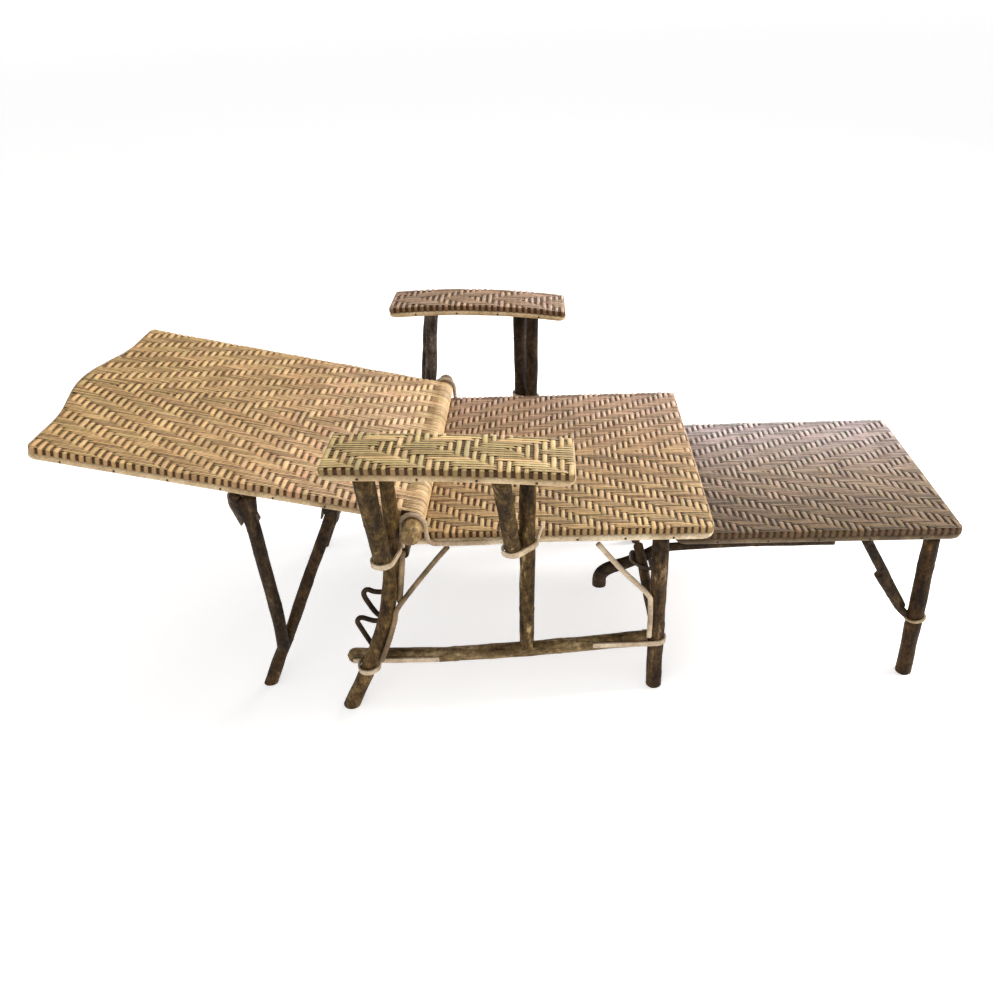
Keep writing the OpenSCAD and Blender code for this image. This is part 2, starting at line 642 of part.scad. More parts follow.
module back_cross_rails() color(bark) on_back() {
  length = 2 * (back_rail_y - back_rail_d / 2 - fit);
  cross_pole(-(back_len - back_inset), back_rail_w, length, back_rail_d);
  for (i = [1 : back_slats])
    cross_pole(-mix(rail_start, back_len - back_inset, i / (back_slats + 1)),
      back_over - weave_t - fit - slat_d / 2, length, slat_d);
}

pivot_w = back_rail_w - back_rail_d / 2 - fit - pivot_d / 2;
pivot_half = back_rail_y + back_rail_d / 2;
module prop_pivot_pole() color(dark_bark) on_back()
  cross_pole(-pivot_u, pivot_w, 2 * pivot_half, pivot_d);

module back_nails() color(nail_black) on_back() {
  for (x = spread(rail_start, back_len - corner_r), side = [-1, 1])
    nail(-x, side * back_half, back_rim_w, side * 90);
  for (y = spread(-back_half + corner_r, back_half - corner_r))
    nail(-(back_len + head_edge(y)), y, back_rim_w, 180);
}

// Prop: two V-shaped trestles on one head bar, swinging on the pivot pole

head_bar_w = min(back_rail_w - back_rail_d / 2, back_over - edge_h - fit - back_rim_d)
  - run - strap_t - fit - head_bar_d / 2;
bar = [back_x(head_bar_u, head_bar_w), 0, back_z(head_bar_u, head_bar_w)];
pivot = [back_x(pivot_u, pivot_w), 0, back_z(pivot_u, pivot_w)];
strut_aside = 17;
strut_y = back_half - strut_aside;
head_bar_half = strut_y + head_bar_over;
prop_leg_y = strut_y - strut_d / 2 - fit - prop_foot_d / 2 + 0.5;
strut_foot = [-266, strut_y, 96];
strut_top = [bar.x + 4.5, strut_y, bar.z - head_bar_d / 2 - 6];

module prop_strut() color(dark_bark) at_hinge()
  tube(smooth([strut_top, [-268.5, strut_y, 367],
    [-266, strut_y, 293], [-263, strut_y, 167], strut_foot]), [strut_d / 2, strut_d / 2 - 0.5]);

module prop_leg() color(dark_bark) at_hinge() above_floor()
  tube(smooth([[pivot.x - 4, prop_leg_y, pivot.z - pivot_d / 2 - 2.5], [-152, prop_leg_y, 345],
    [-210, prop_leg_y, 218], [-265, prop_leg_y + 1, 98], [-287, prop_leg_y + 5, 54],
    [-317, prop_leg_y + 9, -14]]), [prop_leg_d / 2, prop_foot_d / 2]);

module prop_head_bar() color(dark_bark) at_hinge() {
  r = head_bar_d / 2;
  cross_pole(bar.x, bar.z, 2 * head_bar_half - head_bar_d, head_bar_d);
  for (side = [-1, 1])
    translate([bar.x, side * (head_bar_half - r), bar.z]) sphere(r);
}

strap_tail = 44;
bar_strap_w = 10;
pivot_strap_w = 14;
module prop_straps() color(pale_cane) at_hinge() both_sides() {
  translate([bar.x, strut_y, bar.z]) rotate([0, -16, 0])
    splayed_loop(head_bar_d / 2 + fit, strut_d / 2 + 1.9, head_bar_d / 2 + strap_tail, bar_strap_w, strap_t);
  translate([pivot.x, back_rail_y - back_rail_d / 2 - fit - pivot_strap_w / 2 - run, pivot.z])
    rotate([0, 15, 0])
      hanging_loop(pivot_d / 2 + run, pivot_d / 2 + 20, pivot_strap_w, strap_t);
}

// Footrest

module footrest_weave() color(weave_brown) at_hinge() translate([0, 0, foot_top])
  woven_tray(
    round_rect(foot_start, foot_end, foot_half - 1.5, corner_r),
    round_rect(foot_start + weave_t, foot_end - weave_t, foot_half - 1.5 - weave_t, corner_r - weave_t));

module footrest_rim() color(rim_cane) at_hinge()
  edge_cane(round_rect(foot_start + foot_rim_d / 2, foot_end - foot_rim_d / 2,
    foot_half - foot_rim_d / 2, corner_r), foot_top - edge_h - fit - foot_rim_d / 2, foot_rim_d);

foot_rail_z = foot_top - weave_t - fit - foot_rail_d / 2;
foot_inset = foot_rim_d + fit + foot_rail_d / 2;
module footrest_rail() color(bark) at_hinge()
  pole([foot_start + foot_rim_d + rail_gap, foot_rail_y, foot_rail_z],
    [foot_end - foot_rim_d - rail_gap, foot_rail_y, foot_rail_z], foot_rail_d / 2, foot_rail_d / 2);

foot_slats = 3;
module footrest_cross_rails() color(bark) at_hinge() {
  length = 2 * (foot_rail_y - foot_rail_d / 2 - fit);
  for (x = [foot_start + foot_inset, foot_end - foot_inset])
    cross_pole(x, foot_rail_z, length, foot_rail_d);
  for (i = [1 : foot_slats])
    cross_pole(mix(foot_start, foot_end, i / (foot_slats + 1)),
      foot_top - weave_t - fit - slat_d / 2, length, slat_d);
}

foot_carry = min(foot_rail_z - foot_rail_d / 2, foot_top - edge_h - fit - foot_rim_d) - fit;
foot_leg_x = foot_end - 51;
foot_leg_top_y = foot_half - foot_leg_d / 2;
foot_leg_y = foot_half + 11;
function foot_leg_at(z) = [foot_leg_x + 5 * z / foot_carry, mix(foot_leg_y, foot_leg_top_y, z / foot_carry), z];
module footrest_leg() color(bark) at_hinge() above_floor()
  tube([foot_leg_at(-4), foot_leg_at(80), foot_leg_at(170), foot_leg_at(foot_carry)],
    [foot_leg_d / 2, foot_leg_d / 2 - 0.5]);

// Cane from the panel down to the leg, with its tail looped round the leg
brace_leg_z = 118;
module footrest_braces() color(pale_cane) at_hinge() both_sides() {
  leg = foot_leg_at(brace_leg_z);
  r = foot_leg_d / 2 + 0.3;
  y = leg.y - 12;
  tube(smooth([[foot_leg_x - 103, foot_rail_y, foot_carry - 5.2],
    [foot_leg_x - 81, foot_rail_y + 3, foot_carry - 44], [foot_leg_x - 59, foot_rail_y + 6, foot_carry - 81],
    [leg.x - r - 9, y, brace_leg_z + 14]]), 9, sides = 10);
  translate(leg) linear_extrude(strap_w, center = true) difference() {
    circle(r + strap_t);
    circle(r);
  }
}

crook_r = crook_d / 2;
crook_y = foot_half - 12;
runner_r = crook_r - 3;
crook_deep = 1.35;
crook_z = foot_rail_z
  - sqrt(pow(foot_rail_d / 2 + runner_r * crook_deep + 0.1, 2) - pow(crook_y - foot_rail_y, 2));
// Place on a runner or an inner leg, from the front leg's middle and the runner's height
function hook_at(x, y, drop) = [front_leg_x + x, y, crook_z - drop];
module crook_arm() color(dark_bark) at_hinge()
  tube(smooth([[foot_end - 210, crook_y, crook_z], hook_at(159, crook_y, 0), hook_at(39, crook_y, 1),
    hook_at(2, crook_y, 5.5), hook_at(-18, crook_y, 17.5), hook_at(-52, crook_y, 33.5),
    hook_at(-82, crook_y, 44.5), hook_at(-96, crook_y, 58.5), hook_at(-98, crook_y, 80.5)]),
    [runner_r, crook_r], sides = 10, deep = crook_deep);

inner_r = inner_leg_d / 2;
inner_y = crook_y + crook_r + fit + inner_r + 0.3;
inner_run = smooth([[front_leg_x + 10, inner_y, -4], [front_leg_x + 3, inner_y, 79],
  hook_at(-3, inner_y, 148.5), hook_at(-11, inner_y, 103.5), hook_at(-19, inner_y, 58.5),
  hook_at(-25, inner_y, 27.5), hook_at(-34, inner_y, -13.5)]);
module footrest_inner_leg() color(bark) at_hinge() above_floor()
  tube(inner_run, [inner_r, inner_r - 0.5], sides = 10);

// Band laid slantwise round an inner leg and the runner that it crosses
tie = hook_at(-27, 0, 21.5);
tie_w = 5;
tie_slant = 26;
tie_stretch = 1.8;
tie_r = mix(runner_r, crook_r, 0.6) + 0.5;
module footrest_straps() color(pale_cane) at_hinge() both_sides()
  translate(tie) rotate([0, tie_slant, 0]) scale([tie_stretch, 1, 1])
    linear_extrude(tie_w, center = true) difference() {
      polygon(belt([0, crook_y], tie_r + strap_t, [0, inner_y], inner_r + 0.5 + strap_t));
      polygon(belt([0, crook_y], tie_r, [0, inner_y], inner_r + 0.5));
    }

module footrest_nails() color(nail_black) at_hinge()
  rim_nails(foot_start, foot_end, foot_half, foot_top - edge_h - fit, foot_rim_d);

seat_weave();
seat_rim();
near_side() seat_rail();  // seat_rail_near
seat_rail();  // seat_rail_far
seat_cross_rails();
front_bearer();
rear_bearer();
near_side() rear_leg(near_arch);  // rear_leg_near
rear_leg(far_arch);  // rear_leg_far
near_side() front_leg();  // front_leg_near
front_leg();  // front_leg_far
near_side() stretcher();  // stretcher_near
stretcher();  // stretcher_far
near_side() arm_post(near_arch);  // arm_post_near
arm_post(far_arch);  // arm_post_far
arm_rear_struts();
arm_front_struts();
near_side() arm_weave(near_arch);  // arm_weave_near
arm_weave(far_arch);  // arm_weave_far
near_side() arm_rim(near_arch);  // arm_rim_near
arm_rim(far_arch);  // arm_rim_far
near_side() arm_frame(near_arch);  // arm_frame_near
arm_frame(far_arch);  // arm_frame_far
front_braces();
rear_braces();
near_side() notch_rack();  // notch_rack_near
notch_rack();  // notch_rack_far
hinge_loops();
frame_straps();
frame_nails();
hinge_pole();
back_weave();
back_rim();
near_side() back_rail();  // back_rail_near
back_rail();  // back_rail_far
back_cross_rails();
prop_pivot_pole();
back_nails();
near_side() prop_strut();  // prop_strut_near
prop_strut();  // prop_strut_far
near_side() prop_leg();  // prop_leg_near
prop_leg();  // prop_leg_far
prop_head_bar();
prop_straps();
footrest_weave();
footrest_rim();
near_side() footrest_rail();  // footrest_rail_near
footrest_rail();  // footrest_rail_far
footrest_cross_rails();
near_side() footrest_leg();  // footrest_leg_near
footrest_leg();  // footrest_leg_far
near_side() footrest_inner_leg();  // footrest_inner_leg_near
footrest_inner_leg();  // footrest_inner_leg_far
footrest_braces();
near_side() crook_arm();  // crook_arm_near
crook_arm();  // crook_arm_far
footrest_straps();
footrest_nails();
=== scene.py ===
import math

import bpy
import numpy as np
from mathutils import Matrix, Vector


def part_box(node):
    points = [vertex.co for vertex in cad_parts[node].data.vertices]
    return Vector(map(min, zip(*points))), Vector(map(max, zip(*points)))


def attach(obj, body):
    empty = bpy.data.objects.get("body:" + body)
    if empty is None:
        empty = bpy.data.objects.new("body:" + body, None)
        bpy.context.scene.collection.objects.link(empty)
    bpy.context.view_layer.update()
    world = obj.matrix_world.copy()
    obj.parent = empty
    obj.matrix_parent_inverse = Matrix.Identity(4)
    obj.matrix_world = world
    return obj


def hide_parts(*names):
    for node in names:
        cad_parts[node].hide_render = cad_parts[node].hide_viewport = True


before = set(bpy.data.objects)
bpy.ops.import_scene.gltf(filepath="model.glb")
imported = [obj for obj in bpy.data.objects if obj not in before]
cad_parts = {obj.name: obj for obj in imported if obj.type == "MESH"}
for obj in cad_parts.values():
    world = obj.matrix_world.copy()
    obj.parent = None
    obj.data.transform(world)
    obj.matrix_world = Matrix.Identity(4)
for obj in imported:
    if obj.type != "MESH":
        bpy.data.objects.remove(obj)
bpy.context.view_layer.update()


# Lengths are in millimetres from the hinge axis in X, the middle in Y and the floor in Z;
# place() turns them into the frame's metres.
def centre_of(node):
    low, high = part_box(node)
    return np.array([(low.x + high.x) * 500, 0.0, (low.z + high.z) * 500])


HINGE = centre_of("hinge_pole")


def place(points):
    return (np.asarray(points, float) + [HINGE[0], 0, 0]) * 0.001


# Sizes of the object, as in the CAD source
SEAT = dict(x0=-35.0, x1=485.0, half=260.0, top=353.0, rim=12.0)
FOOT = dict(x0=431.0, x1=911.0, half=206.0, top=303.4, rim=10.0)
BACK_LEN, BACK_HALF, BACK_OVER, BACK_RIM = 609.0, 255.5, 19.5, 11.0
CREST, CREST_HALF = 26.0, 170.0
SLOPE = math.radians(13)
EDGE, CORNER, MAT_T = 12.5, 14.0, 4.0
ARM_MID, ARM_LEN, ARM_IN, ARM_OUT, ARM_TOP, ARM_RIM = 79.0, 361.0, 270.0, 383.0, 541.0, 10.0
ARM_HALF = (ARM_OUT - ARM_IN) / 2
ARM_FRAME_IN, ARM_FRAME_OUT = 288.2, 364.8
ARM_TILT = math.radians(3)
NEAR_ARCH, FAR_ARCH, FAR_LIFT = 4.0, 10.0, 7.0
POLE_R, WRAP = 16.0, 2.0
SEAT_UNDER = 327.0
FRONT_LEG = (401.0, 240.0)
RAIL_R = 10.0
CLEAR = 0.2
SIDES = (("near", -1), ("far", 1))
ARMS = (("near", NEAR_ARCH, -1), ("far", FAR_ARCH, 1))


def arm_z(x, arch):
    """Height of an armrest. Both fall towards the front; the far one is higher and more arched."""
    lift = FAR_LIFT if arch == FAR_ARCH else 0.0
    along = x - ARM_MID
    return ARM_TOP + lift - along * math.tan(ARM_TILT) - arch * (along / (ARM_LEN / 2)) ** 2


def arm_under(x, arch):
    return arm_z(x, arch) - (EDGE + ARM_RIM) - 0.9


# Materials

class Look:
    """One material, with short calls for the nodes of its shader."""

    def __init__(self, name, rough=0.5, specular=0.4, coat=0.0):
        self.material = bpy.data.materials.new(name)
        self.material.use_nodes = True
        self.nodes, self.links = self.material.node_tree.nodes, self.material.node_tree.links
        self.bsdf = self.nodes["Principled BSDF"]
        for key, value in (("Roughness", rough), ("Specular IOR Level", specular), ("Coat Weight", coat),
                           ("Coat Roughness", 0.35)):
            self.bsdf.inputs[key].default_value = value

    def node(self, kind, vector=None, **inputs):
        n = self.nodes.new("ShaderNode" + kind)
        for key, value in inputs.items():
            n.inputs[key].default_value = value
        if vector is not None:
            self.links.new(vector, n.inputs["Vector"])
        return n

    def attribute(self, name, output):
        n = self.node("Attribute")
        n.attribute_name = name
        return n.outputs[output]

    def scaled(self, vector, scale):
        return self.node("Mapping", vector, Scale=scale).outputs["Vector"]

    def coords(self, scale=(1, 1, 1)):
        return self.scaled(self.node("TexCoord").outputs["Object"], scale)

    def noise(self, vector, scale, detail=4.0, rough=0.55, distort=0.0):
        n = self.node("TexNoise", vector, Scale=scale, Detail=detail, Roughness=rough, Distortion=distort)
        return n.outputs["Fac"]

    def ramp(self, value, *stops):
        """Ramp over a value. A stop is a place with a colour, or with one number for a grey."""
        r = self.node("ValToRGB")
        while len(r.color_ramp.elements) < len(stops):
            r.color_ramp.elements.new(0.5)
        for element, (at, colour) in zip(r.color_ramp.elements, stops):
            element.position = at
            element.color = (*colour, 1) if isinstance(colour, tuple) else (colour, colour, colour, 1)
        self.links.new(value, r.inputs["Fac"])
        return r.outputs["Color"]

    def mixed(self, a, b, factor=1.0, kind="MULTIPLY", factor_from=None):
        n = self.node("Mix")
        n.data_type = "RGBA"
        n.blend_type = kind
        n.inputs["Factor"].default_value = factor
        if factor_from is not None:
            self.links.new(factor_from, n.inputs["Factor"])
        for socket, value in ((n.inputs["A"], a), (n.inputs["B"], b)):
            if isinstance(value, tuple):
                socket.default_value = (*value, 1)
            else:
                self.links.new(value, socket)
        return n.outputs["Result"]

    def times(self, tone, value, *stops):
        return self.mixed(tone, self.ramp(value, *stops))

    def colour(self, tone):
        self.links.new(tone, self.bsdf.inputs["Base Color"])

    def gloss(self, value, *stops):
        self.links.new(self.ramp(value, *stops), self.bsdf.inputs["Roughness"])

    def bump(self, height, strength, distance):
        b = self.node("Bump", Strength=strength, Distance=distance)
        self.links.new(height, b.inputs["Height"])
        self.links.new(b.outputs["Normal"], self.bsdf.inputs["Normal"])


def strand_material(name):
    """Split cane: colour of each strand from its mesh, with streaks along it."""
    look = Look(name, rough=0.46, specular=0.32, coat=0.04)
    flow = look.scaled(look.attribute("flow", "Vector"), (0.045, 1.1, 1.0))
    streak = look.noise(flow, 1.6, 5, 0.6)
    blotch = look.noise(look.coords(), 34, 3, 0.5)
    tone = look.attribute("strand_colour", "Color")
    tone = look.times(tone, streak, (0.25, (0.62, 0.56, 0.46)), (0.5, 1), (0.75, (1.22, 1.2, 1.14)))
    look.colour(look.times(tone, blotch, (0.3, (0.84, 0.81, 0.76)), (0.7, 1.1)))
    look.gloss(streak, (0.3, 0.56), (0.75, 0.38))
    look.bump(streak, 0.35, 0.0006)
    return look.material


def cane_material(name, dark, mid, light):
    """Whole cane: fine streaks, dull patches and scattered dark flecks."""
    look = Look(name, rough=0.48, specular=0.35, coat=0.05)
    whole = look.coords()
    streak = look.noise(whole, 260, 4, 0.6)
    patch = look.noise(whole, 22, 4, 0.6)
    fleck = look.noise(whole, 95, 3, 0.7)
    tone = look.ramp(patch, (0.3, dark), (0.5, mid), (0.68, light))
    tone = look.times(tone, streak, (0.3, 0.72), (0.6, 1.08))
    look.colour(look.times(tone, fleck, (0.27, 0.5), (0.36, 1)))
    look.gloss(patch, (0.3, 0.6), (0.7, 0.42))
    look.bump(streak, 0.3, 0.0006)
    return look.material


def bark_material(name, colours, axis, light=0.5, gloss=0.62):
    """Bark: mottled patches, long fibres, small dark knots and rubbed pale places; bare wood where cut."""
    look = Look(name, rough=gloss, specular=0.14)
    along = look.coords(axis)
    patch = look.noise(along, 58, 6, 0.66, 0.15)
    fibre = look.noise(along, 330, 5, 0.65)
    mottle = look.noise(look.coords(), 120, 5, 0.7)
    knots = look.node("TexVoronoi", along, Scale=62).outputs["Distance"]
    tone = look.ramp(patch, *zip((0.32, 0.44, 0.58, 0.70), colours))
    tone = look.times(tone, mottle, (0.32, 0.42), (0.52, 1), (0.70, 1.65))
    tone = look.times(tone, fibre, (0.3, 0.66), (0.62, 1.18))
    tone = look.times(tone, knots, (0.06, 0.35), (0.16, 1))
    wood = (0.38 * light, 0.24 * light, 0.11 * light)
    look.colour(look.mixed(tone, wood, kind="MIX", factor_from=look.attribute("cut", "Fac")))
    look.gloss(mottle, (0.3, gloss + 0.15), (0.7, gloss - 0.12))
    height = look.mixed(fibre, mottle, 0.5, "MIX")
    look.bump(look.times(height, knots, (0.04, 0.2), (0.16, 1)), 0.7, 0.0016)
    return look.material


def sheet_material(name, dark):
    """Underside of a mat: crossing strands, darkened as painted shade, with deeper painted shade between the
    bands and paler band tops.
    """
    look = Look(name, rough=0.7, specular=0.2)
    whole = look.coords()
    bands = []
    for direction, scale in (("Y", 19.5), ("X", 7.5)):
        wave = look.node("TexWave", whole, Scale=scale, Distortion=0.6, Detail=2)
        wave.bands_direction = direction
        bands.append(wave.outputs["Fac"])
    # Painted shade and light: the gaps between bands get a darker copy of the tone and the band tops a paler
    # one.
    darker, paler = tuple(c * 0.35 for c in dark), tuple(c * 1.6 for c in dark)
    tone = look.ramp(bands[0], (0.15, darker), (0.5, dark), (0.9, paler))
    tone = look.times(tone, bands[1], (0.2, 0.5), (0.6, 1.1))
    look.colour(look.times(tone, look.noise(whole, 30), (0.3, 0.7), (0.7, 1.2)))
    look.bump(bands[0], 0.6, 0.0015)
    return look.material


def iron_material(name):
    look = Look(name, rough=0.55)
    look.bsdf.inputs["Metallic"].default_value = 0.6
    rust = look.noise(look.coords(), 900, 3, 0.6)
    look.colour(look.ramp(rust, (0.35, (0.02, 0.014, 0.01)), (0.7, (0.07, 0.04, 0.025))))
    look.bump(rust, 0.4, 0.0003)
    return look.material


def plain_look(name, rough, specular, colour):
    look = Look(name, rough, specular)
    look.bsdf.inputs["Base Color"].default_value = (*colour, 1)
    return look


# Bark colours go from the cracks to the rubbed places, cane colours from dull to clean. The end of a bark's
# key tells which way its fibres run; the numbers after its colours are the cut wood's light and the gloss.
OLIVE = ((0.009, 0.004, 0.001), (0.036, 0.019, 0.004), (0.100, 0.058, 0.017), (0.42, 0.29, 0.13))
GOLDEN = ((0.018, 0.008, 0.002), (0.062, 0.033, 0.009), (0.125, 0.073, 0.023), (0.32, 0.21, 0.09))
TAN = ((0.045, 0.024, 0.009), (0.130, 0.083, 0.034), (0.230, 0.158, 0.075), (0.40, 0.30, 0.16))
BROWN = ((0.008, 0.003, 0.001), (0.034, 0.017, 0.005), (0.080, 0.044, 0.016), (0.34, 0.235, 0.13))
GREY = ((0.016, 0.011, 0.008), (0.050, 0.038, 0.028), (0.100, 0.078, 0.060), (0.21, 0.17, 0.13))
UMBER = ((0.008, 0.003, 0.001), (0.025, 0.011, 0.002), (0.052, 0.025, 0.006), (0.13, 0.070, 0.022))
DARK = ((0.007, 0.0035, 0.0015), (0.021, 0.011, 0.0045), (0.042, 0.024, 0.010), (0.09, 0.056, 0.025))
WORN = ((0.10, 0.055, 0.02), (0.25, 0.16, 0.065), (0.38, 0.26, 0.12), (0.52, 0.38, 0.20))
WAYS = {"up": ("upright", (1, 1, 0.3)), "long": ("lengthwise", (0.3, 1, 1)),
        "across": ("crosswise", (1, 0.3, 1))}
CANES = {
    "rim_seat": ("seat_edge_cane", (0.42, 0.31, 0.18), (0.66, 0.52, 0.34), (0.80, 0.68, 0.50)),
    "rim": ("edge_cane", (0.30, 0.19, 0.09), (0.52, 0.37, 0.20), (0.66, 0.50, 0.30)),
    "rim_foot": ("footrest_edge_cane", (0.06, 0.035, 0.015), (0.13, 0.085, 0.042), (0.24, 0.165, 0.09)),
    "pale": ("pale_cane", (0.29, 0.20, 0.12), (0.52, 0.40, 0.27), (0.70, 0.58, 0.43)),
    "tan": ("brace_cane", (0.13, 0.08, 0.035), (0.27, 0.185, 0.095), (0.42, 0.31, 0.18)),
    "brown_cane": ("brown_strap_cane", (0.03, 0.016, 0.007), (0.075, 0.042, 0.018), (0.15, 0.092, 0.042)),
    "tan_up": ("rear_brace_cane", (0.07, 0.04, 0.016), (0.165, 0.105, 0.046), (0.30, 0.20, 0.10)),
}
BARKS = {
    "olive_up": (OLIVE,), "golden_up": (GOLDEN,), "tan_long": (TAN,), "brown_up": (BROWN,),
    "grey_up": (GREY, 0.3), "umber_up": (UMBER, 0.3), "brown_long": (BROWN,),
    # The hinge pole's cut ends take a dark wood tone, partly the wood's colour and partly painted shade on
    # the end faces.
    "brown_across": (BROWN, 0.5, 0.5), "golden_across": (WORN, 0.42, 0.45), "dark_up": (DARK, 0.25),
    "dark_long": (DARK, 0.25), "dark_across": (DARK, 0.25),
}
MAT = {key: cane_material(*values) for key, values in CANES.items()}
for key, (colours, *look) in BARKS.items():
    tone, way = key.split("_")
    word, axis = WAYS[way]
    MAT[key] = bark_material(f"bark_{tone}_{word}", colours, axis, *look)
MAT["strand"] = strand_material("split_cane_strands")
# Painted shade: a dark sheet seen between the strands and on the mats' sides.
MAT["gap"] = plain_look("mat_shadow_side", 0.85, 0.1, (0.07, 0.036, 0.016)).material
MAT["under"] = sheet_material("mat_underside", (0.16, 0.10, 0.05))
MAT["iron"] = iron_material("nail_iron")


# Mesh helpers

def make(name, verts, quads, mats, body, stands_for=(), attributes=None, faces_mat=None, tris=(),
         is_smooth=True):
    """Object from arrays of points (in metres), quads and triangles, riding on a body."""
    verts = np.asarray(verts, np.float32)
    quads, tris = np.asarray(quads, np.int32), np.asarray(tris, np.int32)
    mesh = bpy.data.meshes.new(name)
    mesh.vertices.add(len(verts))
    mesh.vertices.foreach_set("co", verts.ravel())
    loops = np.concatenate([quads.ravel(), tris.ravel()]).astype(np.int32)
    sizes = np.concatenate([np.full(len(quads), 4), np.full(len(tris), 3)]).astype(np.int32)
    mesh.loops.add(len(loops))
    mesh.loops.foreach_set("vertex_index", loops)
    mesh.polygons.add(len(sizes))
    mesh.polygons.foreach_set("loop_start", (np.cumsum(sizes) - sizes).astype(np.int32))
    mesh.polygons.foreach_set("use_smooth", np.full(len(sizes), is_smooth, bool))
    for m in mats:
        mesh.materials.append(m)
    if faces_mat is not None:
        mesh.polygons.foreach_set("material_index", np.asarray(faces_mat, np.int32))
    mesh.update(calc_edges=True)
    for key, values in (attributes or {}).items():
        values = np.asarray(values, np.float32)
        if key == "strand_colour":
            kind, part = "FLOAT_COLOR", "color"
            values = np.concatenate([values, np.ones((len(values), 1), np.float32)], 1)
        else:
            kind, part = ("FLOAT_VECTOR", "vector") if values.ndim == 2 else ("FLOAT", "value")
        mesh.attributes.new(key, kind, "POINT").data.foreach_set(part, values.ravel())
    mesh.validate()
    obj = bpy.data.objects.new(name, mesh)
    bpy.context.scene.collection.objects.link(obj)
    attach(obj, body)
    if stands_for:
        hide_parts(*stands_for)
    return obj


def smooth(points, n=8):
    p = np.asarray(points, float)
    out = []
    for i in range(len(p) - 1):
        a, b, c, d = p[max(i - 1, 0)], p[i], p[i + 1], p[min(i + 2, len(p) - 1)]
        for k in range(n):
            t = k / n
            out.append(0.5 * (2 * b + (c - a) * t + (2 * a - 5 * b + 4 * c - d) * t * t
                              + (3 * b - a - 3 * c + d) * t ** 3))
    out.append(p[-1])
    return np.array(out)


def resample(points, step, closed=False):
    p = np.asarray(points, float)
    if closed:
        p = np.vstack([p, p[:1]])
    run = np.concatenate([[0], np.cumsum(np.linalg.norm(np.diff(p, axis=0), axis=1))])
    n = max(3, int(round(run[-1] / step)))
    s = np.linspace(0, run[-1], n + 1)
    out = np.stack([np.interp(s, run, p[:, k]) for k in range(3)], 1)
    return (out[:-1], s[:-1]) if closed else (out, s)


def ripple(s, seed, lengths=(41.0, 97.0, 23.0), sizes=(0.5, 0.35, 0.15)):
    """Smooth unevenness along a length."""
    r = np.random.default_rng(seed)
    return sum(size * np.sin(2 * np.pi * (s / (length * r.uniform(0.85, 1.15)) + r.uniform()))
               for length, size in zip(lengths, sizes))


